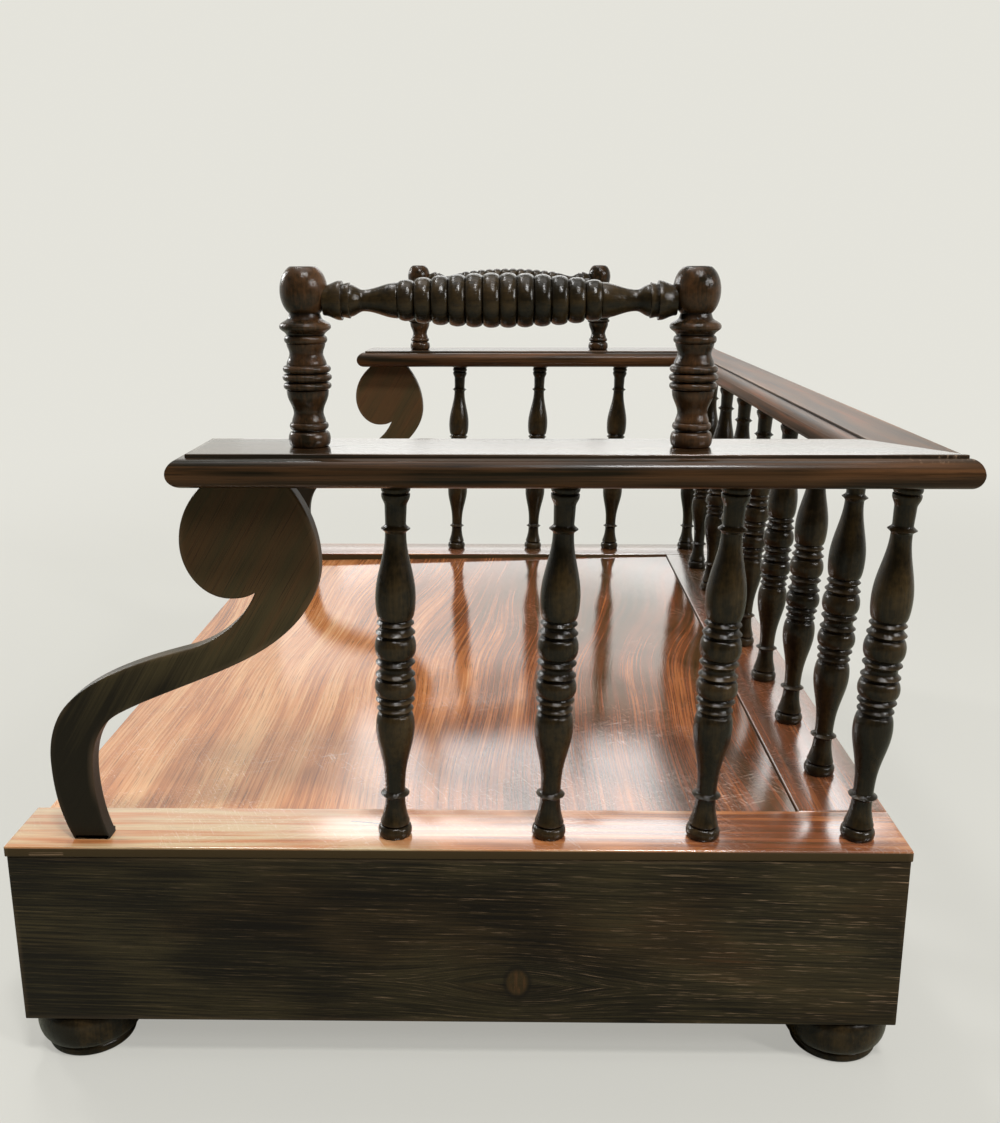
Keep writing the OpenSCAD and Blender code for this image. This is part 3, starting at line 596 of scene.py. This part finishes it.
def grain(g, along, period=7.0, pith=(14.0, -38.0), wobble=16.0, fine=1.0, short=1.0, knot=None, slant=0.0):
    """Wood figure with the grain along one axis: rings, streaks and pores, each about 0 to 1.

    The rings are a sine of the distance from a wandering pith line; the streaks and pores are noise drawn out
    along the grain. A knot, given along the grain and across it, bends the lines round itself, and slant shears them.
    """
    p = g.place()
    u, v, w = p[along], p[(along + 1) % 3], p[(along + 2) % 3]
    if along == Y:
        v, w = w, v
    if slant:
        w = w + u * slant
    if knot:
        w = w + (w - knot[1]).math("SIGN") * knot_share(u, w, knot, 11.0) * -7.0
    drift = g.noise(u * 0.009, v * 0.022, w * 0.022, 2.0)
    lean = g.noise(u * 0.006 + 31.0, v * 0.016, w * 0.016, 1.0)
    a = v - pith[0] + (drift - 0.5) * (2 * wobble)
    b = w - pith[1] + (lean - 0.5) * (2 * wobble)
    away = (a * a + b * b) ** 0.5
    rings = (away * (2 * math.pi / period) + drift * 5.0).wave()
    streaks = g.noise(u * (0.012 * short), v * (0.75 * fine), w * (0.75 * fine), 6.0, 0.62)
    pores = g.noise(u * 0.055, v * (2.6 * fine), w * (2.6 * fine), 2.0, 0.6)
    return p, (u, v, w), rings, streaks, pores


def dress(g, base, groove=None, crest=None, cloud=None, wear=0.0):
    """Ink in the grooves and rubbed wood on the crests, broken up by a cloud: the ink is wax in the turnings' grooves
    and painted shade on the rails' step under the field, and the rub on the turnings' crests is partly a painted
    highlight.
    """
    if groove is not None:
        base = g.mix(groove * 0.9, base, tone("ink"))
    if crest is not None:
        base = g.mix(crest * cloud.ramp(0.35, 0.75) * wear, base, tone("worn"))
    return base


def turned_finish(name, along, red=False):
    """Near-black polished rosewood of the turnings, with brown lights and waxy grooves, and a worn tone on the crests
    that is partly a painted highlight; red leaves out the umber.
    """
    g = Graph(bpy.data.materials.new(name))
    p, _, rings, streaks, pores = grain(g, along, period=5.0, wobble=9.0, fine=1.6)
    cloud = g.noise(p[X] * 0.05, p[Y] * 0.05, p[Z] * 0.05, 3.0)
    mottle = g.noise(p[X] * 0.6, p[Y] * 0.6, p[Z] * 0.6, 3.0)
    figure = rings * 0.08 + streaks * 0.28 + cloud * 0.42 + mottle * 0.27
    stops = [(0.44, "ebony"), (0.76, "chestnut"), (0.96, "russet")] if red else [
        (0.46, "ebony"), (0.70, "umber"), (0.82, "chestnut"), (1.0, "russet")]
    base = g.wood(figure, stops)
    base = g.mix(pores.ramp(0.58, 0.70) * 0.6, base, tone("ink"))
    # the worn tone on the crests is rubbed wood and partly a painted highlight
    base = dress(g, base, g.share("groove"), g.share("crest"), cloud, 0.06)
    rough = cloud * 0.08 + mottle * 0.12 + pores.ramp(0.55, 0.75) * 0.10 + 0.08
    return g.finish(base, rough, pores * -0.5 + streaks * 0.3 + mottle * 0.6, 0.26, 0.0005, specular=0.22)


def panel_finish(name, along, knot=None):
    """Dark veneer of the base: level grain with short pale flecks, red clouds, a satin polish and a knot if given;
    painted lighter and more flecked towards +Y as painted light and sheen from that side.
    """
    g = Graph(bpy.data.materials.new(name))
    p, (u, v, w), rings, streaks, pores = grain(
        g, along, period=9.0, pith=(30.0, 55.0), wobble=16.0, fine=2.0, short=2.4, knot=knot, slant=0.03)
    cloud = g.noise(u * 0.012, v * 0.03, w * 0.03, 2.0)
    glow = g.noise(u * 0.016 + 4.0, v * 0.02, w * 0.03, 1.0).ramp(0.46, 0.62)
    # the p[Y] ramp lightens the ends towards +Y: painted light from that side
    figure = rings * 0.08 + streaks * 0.50 + pores * 0.22 + cloud * 0.16 + p[Y].ramp(-150.0, 150.0) * 0.08
    base = g.wood(figure, [(0.37, "ink"), (0.46, "ebony"), (0.60, "olive"), (0.82, "chestnut")])
    base = g.mix(glow * 0.40, base, tone("russet"), "SOFT_LIGHT")
    base = g.mix(pores.ramp(0.54, 0.66) * 0.7, base, tone("ink"))
    flecks = g.noise(u * 0.11 + 9.0, v * 4.2, w * 4.2, 2.0).ramp(0.60, 0.72) * streaks.ramp(0.42, 0.60)
    # the flecks crowd towards +Y: grain flecks, with a painted sheen on that side
    flecks = flecks * (p[Y].ramp(-120.0, 130.0) * 0.8 + 0.2)
    base = g.mix(flecks * 0.55, base, tone("worn"))
    if knot:
        eye = knot_share(p[Y], p[Z], knot, 5.2, 0.75)
        upright = g.noise(p[Y] * 0.9, 0.0, p[Z] * 0.12, 2.0).ramp(0.42, 0.62)
        base = g.mix(eye.ramp(0.16, 0.36) * 0.65, base, tone("ink"))
        base = g.mix(eye.ramp(0.34, 0.62) * 0.75, base, tone("umber"))
        base = g.mix(eye.ramp(0.40, 0.80) * upright * 0.5, base, tone("chestnut"))
    base = dress(g, base, crest=g.share("crest"), cloud=cloud, wear=0.10)
    rough = cloud * 0.14 + flecks * 0.1 + 0.32
    return g.finish(base, rough, pores * -0.7 + streaks * 0.5, 0.30, 0.0005, specular=0.18)


def rail_finish(name, along, coat, dull):
    """Polished red-brown rails with dark streaks, a painted shade on the upright step under the field, and pale rubbed
    edges.

    coat is the weight of the polish on the field, and dull makes the wood rougher and redder.
    """
    g = Graph(bpy.data.materials.new(name))
    p, (u, v, w), rings, streaks, pores = grain(g, along, period=6.5, pith=(9.0, -30.0), wobble=12.0)
    cloud = g.noise(u * 0.015, v * 0.06, w * 0.06, 2.0)
    figure = rings * 0.12 + streaks * 0.58 + cloud * 0.30 + (0.08 + 0.5 * dull)
    base = g.wood(figure, [(0.46, "ebony"), (0.72, "chestnut"), (0.88, "russet")])
    base = g.mix(pores.ramp(0.58, 0.70) * 0.6, base, tone("ink"))
    # the ink on the groove share here is painted shade on the step under the field
    base = dress(g, base, g.share("groove"), g.share("crest"), cloud, 0.55)
    corner = (abs(p[X]) + p[Y]).ramp(322.0, 350.0)
    field = p[Z].ramp(199.0, 200.6)
    rubbed = g.noise(p[X] * 0.5, p[Y] * 0.9, p[Z] * 0.5, 4.0, 0.7).ramp(0.56, 0.64) * corner * field
    base = g.mix(rubbed * 0.55, base, tone("worn"))
    chip = stroke(p[X], p[Y], (195.9, -31.4), (195.0, -28.1), 0.7) * field
    base = g.mix(chip, base, tone("ink"))
    rough = cloud * 0.10 + streaks * 0.08 + rubbed * 0.2 + chip * 0.4 + (0.20 + dull)
    base = g.mix(field * (coat * 0.4), base, tone("ebony"))
    shine = (field * 0.9 + 0.1) * (p[X].ramp(-120.0, 40.0) * 0.7 + 0.3) * coat
    bump = pores * -0.4 + streaks * 0.4 + cloud * 0.5 - chip
    return g.finish(base, rough, bump, 0.16, 0.0005, shine, 0.11 + dull, 0.1)


def scroll_finish(name):
    """Dull waxed rosewood of the scroll brackets, with the grain on the slant, painted darker towards the foot and
    lighter at the head as painted shade and light.
    """
    g = Graph(bpy.data.materials.new(name))
    p, _, rings, streaks, pores = grain(
        g, Z, period=9.0, pith=(60.0, 20.0), wobble=10.0, fine=1.3, slant=-0.6)
    cloud = g.noise(p[X] * 0.03, p[Y] * 0.03, p[Z] * 0.03, 2.0)
    # the p[Z] ramp lightens the head and darkens the foot: painted light and shade
    figure = rings * 0.10 + streaks * 0.36 + cloud * 0.26 + p[Z].ramp(95.0, 165.0) * 0.44 - 0.05
    base = g.wood(figure, [(0.40, "ebony"), (0.64, "olive"), (0.94, "chestnut")])
    base = g.mix(pores.ramp(0.58, 0.70) * 0.6, base, tone("ink"))
    base = dress(g, base, crest=g.share("crest"), cloud=cloud, wear=0.12)
    return g.finish(base, cloud * 0.12 + 0.38, pores * -0.6 + streaks * 0.3, 0.22, 0.0005, specular=0.18)


def scratches(g, p):
    """Thin pale scratches on a polished top: ridges of three stretched noises at different slants, in patches."""
    a = g.noise(p[X] * 0.020 + p[Y] * 0.011, p[Y] * 0.33 - p[X] * 0.17, 0.0, 2.0)
    b = g.noise(p[X] * 0.24 + p[Y] * 0.10, p[Y] * 0.016 - p[X] * 0.022 + 5.0, 0.0, 2.0)
    c = g.noise(p[X] * 0.36 - p[Y] * 0.27, p[Y] * 0.045 + p[X] * 0.06 + 11.0, 0.0, 3.0)
    patch = g.noise(p[X] * 0.022, p[Y] * 0.022, 0.0, 2.0)
    line = abs(a - 0.5).ramp(0.006, 0.0) + abs(b - 0.5).ramp(0.005, 0.0) + abs(c - 0.5).ramp(0.005, 0.0)
    return (line * patch.ramp(0.40, 0.62)).math("MINIMUM", 1.0)


def bed_finish(name):
    """French-polished bed: fine streaks that bend in a fan, orange to the front and dark red to the back; the orange
    front is partly the wood's colour and partly a painted sheen.
    """
    g = Graph(bpy.data.materials.new(name))
    p = g.place()
    drift = g.noise(p[X] * 0.005, p[Y] * 0.010, 0.0, 1.0)
    swing = (p[X] * 0.0078 + drift * 1.2).math("SINE")
    v = p[Y] + swing * (p[Y] * 0.14 + 16.0) + drift * 26.0
    broad = g.noise(p[X] * 0.004, v * 0.06, 0.0, 3.0, 0.6)
    streaks = g.noise(p[X] * 0.009, v * 0.90, 0.0, 6.0, 0.66)
    pores = g.noise(p[X] * 0.060, v * 2.6, 0.0, 2.0, 0.6)
    side, beyond, near = p[Y].ramp(-95.0, 80.0), p[X].ramp(40.0, -140.0), p[X].ramp(60.0, 180.0)
    # side makes the bed darker towards the back: the wood's colour, and a painted sheen on the lighter orange front
    figure = broad * 0.60 + streaks * 0.74 - side * 0.28 - beyond * 0.08 - 0.03
    base = g.wood(figure, [(0.16, "umber"), (0.30, "chestnut"), (0.42, "russet"), (0.58, "amber"), (0.74, "honey")])
    base = g.mix(pores.ramp(0.54, 0.68) * 0.6, base, tone("umber"))
    marks = scratches(g, p)
    # pale scratches crowd to the near end: real scratches, and partly a painted sheen where the near end shines
    base = g.mix(marks * (near * 0.35 + 0.15), base, tone("chalk"))
    base = dress(g, base, crest=g.share("crest"), cloud=broad, wear=0.1)
    rough = broad * 0.06 + near * 0.14 + marks * near * 0.2 + 0.05
    return g.finish(base, rough, pores * -0.3 + streaks * 0.3, 0.08, 0.0004, ior=2.0)


def strip_finish(name, along, pale):
    """Polished strips round the bed: straight fine grain, straw to russet where pale and darker where not.

    The lip that overhangs the base is dark, with a worn line at the front and a short crack by a spindle.
    """
    g = Graph(bpy.data.materials.new(name))
    p, (u, v, w), rings, streaks, pores = grain(
        g, along, period=4.0, pith=(6.0, -60.0), wobble=8.0, fine=1.3)
    cloud = g.noise(u * 0.014, v * 0.05, w * 0.05, 3.0)
    fine = streaks * 0.30 + 0.06 if pale else streaks * 0.70 + 0.08
    figure = rings * 0.06 + fine + cloud * 0.36 - p[Y].ramp(-70.0, 70.0) * 0.12
    figure = figure - p[X].ramp(0.0, -150.0) * 0.16
    stops = [(0.16, "chestnut"), (0.27, "russet"), (0.36, "amber"), (0.46, "straw")] if pale else [
        (0.18, "ebony"), (0.30, "umber"), (0.42, "chestnut"), (0.54, "russet"), (0.74, "amber")]
    base = g.wood(figure, stops)
    base = g.mix(pores.ramp(0.58, 0.70) * 0.5, base, tone("umber"))
    marks = scratches(g, p)
    base = g.mix(marks * (0.30 if pale else 0.15), base, tone("chalk"))
    lip = (SLAB_TOP / MM - p[Z]).ramp(0.25, 0.8)
    base = g.mix(lip, base, tone("umber"))
    base = dress(g, base, crest=g.share("crest"), cloud=cloud, wear=0.15)
    crack = stroke(p[X], p[Y], (182.7, -31.3), (184.6, -21.1), 0.55) * (1 - lip)
    base = g.mix(crack, base, tone("ink"))
    rubbed = stroke(p[Y], p[Z], (-128.6, 75.0), (-118.7, 75.2), 0.7) * p[X].ramp(199.5, 200.2) * pores.ramp(0.4, 0.6)
    base = g.mix(rubbed * 0.5, base, tone("worn"))
    rough = cloud * 0.12 + marks * 0.2 + lip * 0.2 + 0.18
    bump = pores * -0.4 + streaks * 0.4 - crack
    return g.finish(base, rough, bump, 0.12, 0.0004, 1 - lip, 0.15 if pale else 0.2, 0.2, coat_ior=2.0)


def bare_finish(name, along, front=None):
    """Bare straw-coloured wood of the drawer's inside and the hidden boards, lipped with dark wood at a front edge."""
    g = Graph(bpy.data.materials.new(name))
    p, (u, v, w), rings, streaks, pores = grain(g, along, period=8.0, wobble=14.0, fine=0.8)
    cloud = g.noise(u * 0.01, v * 0.03, w * 0.03, 3.0)
    figure = rings * 0.3 + streaks * 0.45 + cloud * 0.3
    base = g.wood(figure, [(0.25, "amber"), (0.50, "honey"), (0.80, "straw")])
    base = g.mix(pores.ramp(0.58, 0.72) * 0.35, base, tone("chestnut"))
    if front is not None:
        lipping = g.mix(streaks.ramp(0.40, 0.65), tone("ebony"), tone("chestnut"))
        base = g.mix(p[Y].ramp(front + 3.2, front + 3.0), base, lipping)
    return g.finish(base, cloud * 0.15 + 0.50, pores * -0.5 + streaks * 0.5, 0.25, 0.0005)


def put_on(nodes, finish):
    """Gives CAD nodes that stay as they are a finish."""
    for node in nodes:
        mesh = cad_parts[node].data
        mesh.materials.clear()
        mesh.materials.append(finish)


# Operators, one for each group of pieces

class TROUGH_OT_spindles(bpy.types.Operator):
    """Turns the fifteen spindles of the gallery, each along its own leaning axis"""
    bl_idname = "trough.spindles"
    bl_label = "Spindles"

    def execute(self, context):
        finish = turned_finish("turned rosewood upright", Z)
        for node in SPINDLES:
            middle, direction = axis_of(node)
            slope = direction / direction[Z]
            foot = middle + slope * (SLAB_TOP - middle[Z])
            h = (RAIL_UNDER - SLAB_TOP) * np.linalg.norm(slope)
            put_turned(node, spindle_profile(h), foot, direction, finish)
        return {"FINISHED"}


class TROUGH_OT_handles(bpy.types.Operator):
    """Turns the handle posts with their ball tops and the ring-turned bars between them"""
    bl_idname = "trough.handles"
    bl_label = "Handles"

    def execute(self, context):
        upright, level = turned_finish("turned rosewood post", Z, True), turned_finish("turned rosewood bar", Y)
        for node in POSTS:
            middle = (low(node) + high(node)) / 2
            put_turned(node, post_profile(), np.array([middle[X], middle[Y], RAIL_TOP]), (0, 0, 1), upright)
        for node in BARS:
            middle, _ = axis_of(node)
            span = (high(node)[Y] - low(node)[Y]) / MM - BAR_HIDDEN
            put_turned(node, bar_profile(span), middle, (0, 1, 0), level)
        return {"FINISHED"}


class TROUGH_OT_feet(bpy.types.Operator):
    """Turns the four bun feet"""
    bl_idname = "trough.feet"
    bl_label = "Feet"

    def execute(self, context):
        finish = turned_finish("turned rosewood foot", Z)
        for node in FEET:
            middle = (low(node) + high(node)) / 2
            on_floor = np.array([middle[X], middle[Y], 0.0])
            put_turned(node, foot_profile(low("end_panel_right")[Z]), on_floor, (0, 0, 1), finish)
        return {"FINISHED"}


class TROUGH_OT_rails(bpy.types.Operator):
    """Sweeps the moulded section round the two end rails and along the back rail, with a hairline at each mitre"""
    bl_idname = "trough.rails"
    bl_label = "Rails"

    def execute(self, context):
        hairline = 0.06 * MM
        ends, back = rail_finish("rail rosewood ends", Y, 1.0, 0.0), rail_finish("rail rosewood back", X, 0.22, 0.16)
        tip, inner = high("rail_right"), low("rail_right")[X]
        front, back_in = low("rail_right")[Y], low("rail_back")[Y]
        plan = np.array([[inner, front], [tip[X], front], [tip[X], tip[Y] - hairline], [inner, back_in - hairline]])
        put_rail("rail_right", plan, [1, 1, 0, 1], ends)
        put_rail("rail_left", (plan * [-1, 1])[::-1], [0, 1, 1, 1], ends)
        plan = np.array([[-inner, back_in], [inner, back_in], [tip[X], tip[Y]], [-tip[X], tip[Y]]])
        put_rail("rail_back", plan, [1, 0, 1, 0], back)
        return {"FINISHED"}


class TROUGH_OT_scrolls(bpy.types.Operator):
    """Saws the two scroll brackets at the open front, with softened edges"""
    bl_idname = "trough.scrolls"
    bl_label = "Scrolls"

    def execute(self, context):
        finish = scroll_finish("scroll rosewood")
        for node in ("scroll_right", "scroll_left"):
            put_scroll(node, finish)
        return {"FINISHED"}


class TROUGH_OT_base(bpy.types.Operator):
    """Makes the veneered ends and back of the base"""
    bl_idname = "trough.base"
    bl_label = "Base"

    def execute(self, context):
        ends = panel_finish("panel rosewood ends", Y, (22.1, 30.8))
        for node in ("end_panel_right", "end_panel_left"):
            put_box_board(node, X, ends)
        put_box_board("back_panel", Y, panel_finish("panel rosewood back", X))
        return {"FINISHED"}


class TROUGH_OT_bed(bpy.types.Operator):
    """Lays the sloping bed and the strips that frame it on three sides"""
    bl_idname = "trough.bed"
    bl_label = "Book bed"

    def execute(self, context):
        points = vertices_of("bed_panel")
        (x0, y0, z0), (x1, y1, z1) = low("bed_panel"), high("bed_panel")
        front = points[points[:, Y] < y0 + 1e-5][:, Z].max()
        put_board("bed_panel", [[y0, z0], [y1, z0], [y1, z1], [y0, front]], (x0, x1), X,
                  bed_finish("bed rosewood"), edge=0.35 * MM)
        cleat = strip_finish("cleat rosewood", Y, True)
        (x0, y0, z0), (x1, y1, z1) = low("cleat_right"), high("cleat_right")
        wall, lap = low("end_panel_right")[X], high("end_panel_right")[Z]
        plan = np.array([[z0, x0], [z1, x0], [z1, x1], [lap, x1], [lap, wall], [z0, wall]])
        put_board("cleat_right", plan, (y0, y1), Y, cleat, edge=0.4 * MM)
        put_board("cleat_left", (plan * [1, -1])[::-1], (y0, y1), Y, cleat, edge=0.4 * MM)
        put_box_board("back_border", X, strip_finish("border rosewood", X, False))
        return {"FINISHED"}


class TROUGH_OT_drawer(bpy.types.Operator):
    """Faces the drawer, turns its knobs and gives its bare inside its finish"""
    bl_idname = "trough.drawer"
    bl_label = "Drawer"

    def execute(self, context):
        across, deep = bare_finish("bare wood across", X), bare_finish("bare wood deep", Y)
        put_on(["drawer_front"], panel_finish("panel rosewood drawer", X))
        put_on(["drawer_back", "drawer_bottom", "glue_blocks", "drawer_stops"], across)
        for node in ("bottom_board", "dust_board"):
            put_on([node], bare_finish("lipped " + node.replace("_", " "), X, low(node)[Y] / MM))
        put_on(["drawer_side_right", "drawer_side_left", "drawer_runner_right", "drawer_runner_left"], deep)
        finish = turned_finish("turned rosewood knob", Y)
        for node in KNOBS:
            middle = (low(node) + high(node)) / 2
            foot = np.array([middle[X], low("drawer_front")[Y], middle[Z]])
            put_turned(node, knob_profile(foot[Y] - low(node)[Y]), foot, (0, -1, 0), finish, DRAWER)
        return {"FINISHED"}


# Stage

CAMERA_AT = (0.52344, 0.02147, 0.25138)
CAMERA_YAW, CAMERA_PITCH, CAMERA_ROLL = -0.0145, 0.2508, -0.0012
FOCAL_PIXELS, IMAGE_HEIGHT, SENSOR = 1158.746, 1123, 36.0
FLOOR_HALF = 14.0


def aim_camera():
    """Camera at the photograph's angle: it looks along -X, turned by yaw, tipped down by pitch and rolled a little."""
    data = bpy.data.cameras.new("camera")
    data.sensor_width, data.lens = SENSOR, FOCAL_PIXELS / IMAGE_HEIGHT * SENSOR
    data.clip_start, data.clip_end = 0.01, 100.0
    level = np.array([-math.cos(CAMERA_YAW), math.sin(CAMERA_YAW), 0.0])
    ahead = level * math.cos(CAMERA_PITCH) - np.array([0, 0, math.sin(CAMERA_PITCH)])
    over = np.array([0, 0, math.cos(CAMERA_PITCH)]) + level * math.sin(CAMERA_PITCH)
    aside = np.array([math.sin(CAMERA_YAW), math.cos(CAMERA_YAW), 0.0])
    right = aside * math.cos(CAMERA_ROLL) + over * math.sin(CAMERA_ROLL)
    up = over * math.cos(CAMERA_ROLL) - aside * math.sin(CAMERA_ROLL)
    camera = add("camera", data)
    camera.matrix_world = Matrix([[right[i], up[i], -ahead[i], CAMERA_AT[i]] for i in range(3)] + [[0, 0, 0, 1]])
    bpy.context.scene.camera = camera


def softbox(name, at, towards, wide, tall, power):
    """An area lamp that faces a point."""
    data = bpy.data.lights.new(name, "AREA")
    data.shape, data.size, data.size_y, data.energy = "RECTANGLE", wide, tall, power
    lamp = add(name, data)
    lamp.location, lamp.visible_camera = at, False
    lamp.rotation_euler = (Vector(towards) - Vector(at)).to_track_quat("-Z", "Y").to_euler()


def floor_finish():
    """Pale floor of one colour: half plain and half lit near the trough, to keep its shadow, and plain far off.

    Reflections show the plain colour behind the trough, and the floor throws a duller light back on the wood.
    """
    g = Graph(bpy.data.materials.new("pale floor"))
    p = g.place()
    far = ((p[X] * p[X] + p[Y] * p[Y]) ** 0.5).ramp(350.0, 1200.0)
    camera_ray, glossy_ray = g.rays()
    share = (far * 0.5 + 0.5) * camera_ray + far * p[X].ramp(300.0, -300.0) * glossy_ray
    plain = g.node("ShaderNodeEmission", values={"Color": tone("floor"), "Strength": 1.0})
    lit = g.node("ShaderNodeBsdfDiffuse", values={"Color": g.mix(camera_ray, tone("bounce"), tone("shade"))})
    mixed = g.node("ShaderNodeMixShader", values={0: share, 1: lit, 2: plain})
    g.node("ShaderNodeOutputMaterial", values={"Surface": mixed})
    return g.owner


def paint_world():
    """Pale surroundings, plain to the camera. They light the wood more from -X than from +X.

    Reflections see them brighter on that side, most of all in a low band like a wall under windows.
    """
    world = bpy.data.worlds.new("pale room")
    bpy.context.scene.world = world
    g = Graph(world)
    at = g.node("ShaderNodeTexCoord", output="Generated")
    part = g.node("ShaderNodeSeparateXYZ", values={0: at}).socket.node.outputs
    behind, wall = Signal(g, part[X]).ramp(0.7, -0.4), Signal(g, part[Z]).ramp(0.395, 0.33)
    camera_ray, glossy_ray = g.rays()
    strength = camera_ray + (1 - camera_ray) * (behind * 0.36 + 0.07) + glossy_ray * behind * (wall * 0.48 + 0.13)
    shader = g.node("ShaderNodeBackground", values={"Color": tone("floor"), "Strength": strength})
    g.node("ShaderNodeOutputWorld", values={"Surface": shader})


class TROUGH_OT_stage(bpy.types.Operator):
    """Sets the pale floor, the soft lamps, the surroundings and the camera"""
    bl_idname = "trough.stage"
    bl_label = "Stage"

    def execute(self, context):
        corners = np.array([[-1, -1, 0], [1, -1, 0], [1, 1, 0], [-1, 1, 0]]) * FLOOR_HALF
        mesh = bpy.data.meshes.new("floor")
        mesh.from_pydata(corners.tolist(), [], [[0, 1, 2, 3]])
        mesh.materials.append(floor_finish())
        add("floor", mesh)
        softbox("window lamp", (-1.5, 0.17, 0.97), (0.18, 0.05, 0.08), 1.06, 0.46, 5.2)
        softbox("side window lamp", (-1.5, -0.69, 0.98), (0.18, -0.08, 0.08), 0.64, 0.44, 0.27)
        softbox("wall lamp", (-0.6, 0.0, 0.239), (0.2, 0.0, 0.239), 0.5, 0.122, 0.105)
        softbox("far window lamp", (-4.0, 0.45, 0.96), (0.2, 0.05, 0.2), 2.6, 0.24, 2.0)
        softbox("left lamp", (-0.9, -1.3, 0.75), (0.1, 0, 0.14), 0.22, 0.45, 12.0)
        softbox("right lamp", (1.0, 1.4, 0.9), (0.15, 0, 0.14), 0.2, 0.4, 17.0)
        softbox("key lamp", (0.9, 0.25, 1.5), (0.15, 0, 0.14), 0.2, 0.2, 16.0)
        softbox("small top lamp", (-0.5, -0.5, 1.9), (0.1, 0, 0.12), 0.25, 0.25, 8.0)
        softbox("top lamp", (0.0, 0.0, 2.2), (0, 0, 0), 1.5, 1.5, 16.0)
        paint_world()
        aim_camera()
        bpy.context.scene.view_settings.view_transform = "Standard"
        return {"FINISHED"}


STEPS = (TROUGH_OT_stage, TROUGH_OT_spindles, TROUGH_OT_handles, TROUGH_OT_feet, TROUGH_OT_rails, TROUGH_OT_scrolls,
         TROUGH_OT_base, TROUGH_OT_bed, TROUGH_OT_drawer)


class TROUGH_PT_panel(bpy.types.Panel):
    """Lists the steps in the 3D view's sidebar"""
    bl_idname = "TROUGH_PT_panel"
    bl_label = "Book trough"
    bl_space_type = "VIEW_3D"
    bl_region_type = "UI"
    bl_category = "Trough"

    def draw(self, context):
        for step in STEPS:
            self.layout.operator(step.bl_idname)


CLASSES = (TroughSizes, TroughColours, *STEPS, TROUGH_PT_panel)


def register():
    """Registers the classes and hangs the sizes and colours on the scene."""
    for made in CLASSES:
        bpy.utils.register_class(made)
    bpy.types.Scene.trough_sizes = PointerProperty(type=TroughSizes)
    bpy.types.Scene.trough_colours = PointerProperty(type=TroughColours)


def unregister():
    """Takes back what register did."""
    del bpy.types.Scene.trough_colours, bpy.types.Scene.trough_sizes
    for made in reversed(CLASSES):
        bpy.utils.unregister_class(made)


def main():
    """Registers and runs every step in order."""
    register()
    for step in STEPS:
        group, name = step.bl_idname.split(".")
        getattr(getattr(bpy.ops, group), name)()
    bpy.context.view_layer.update()


if __name__ == "__main__":
    main()
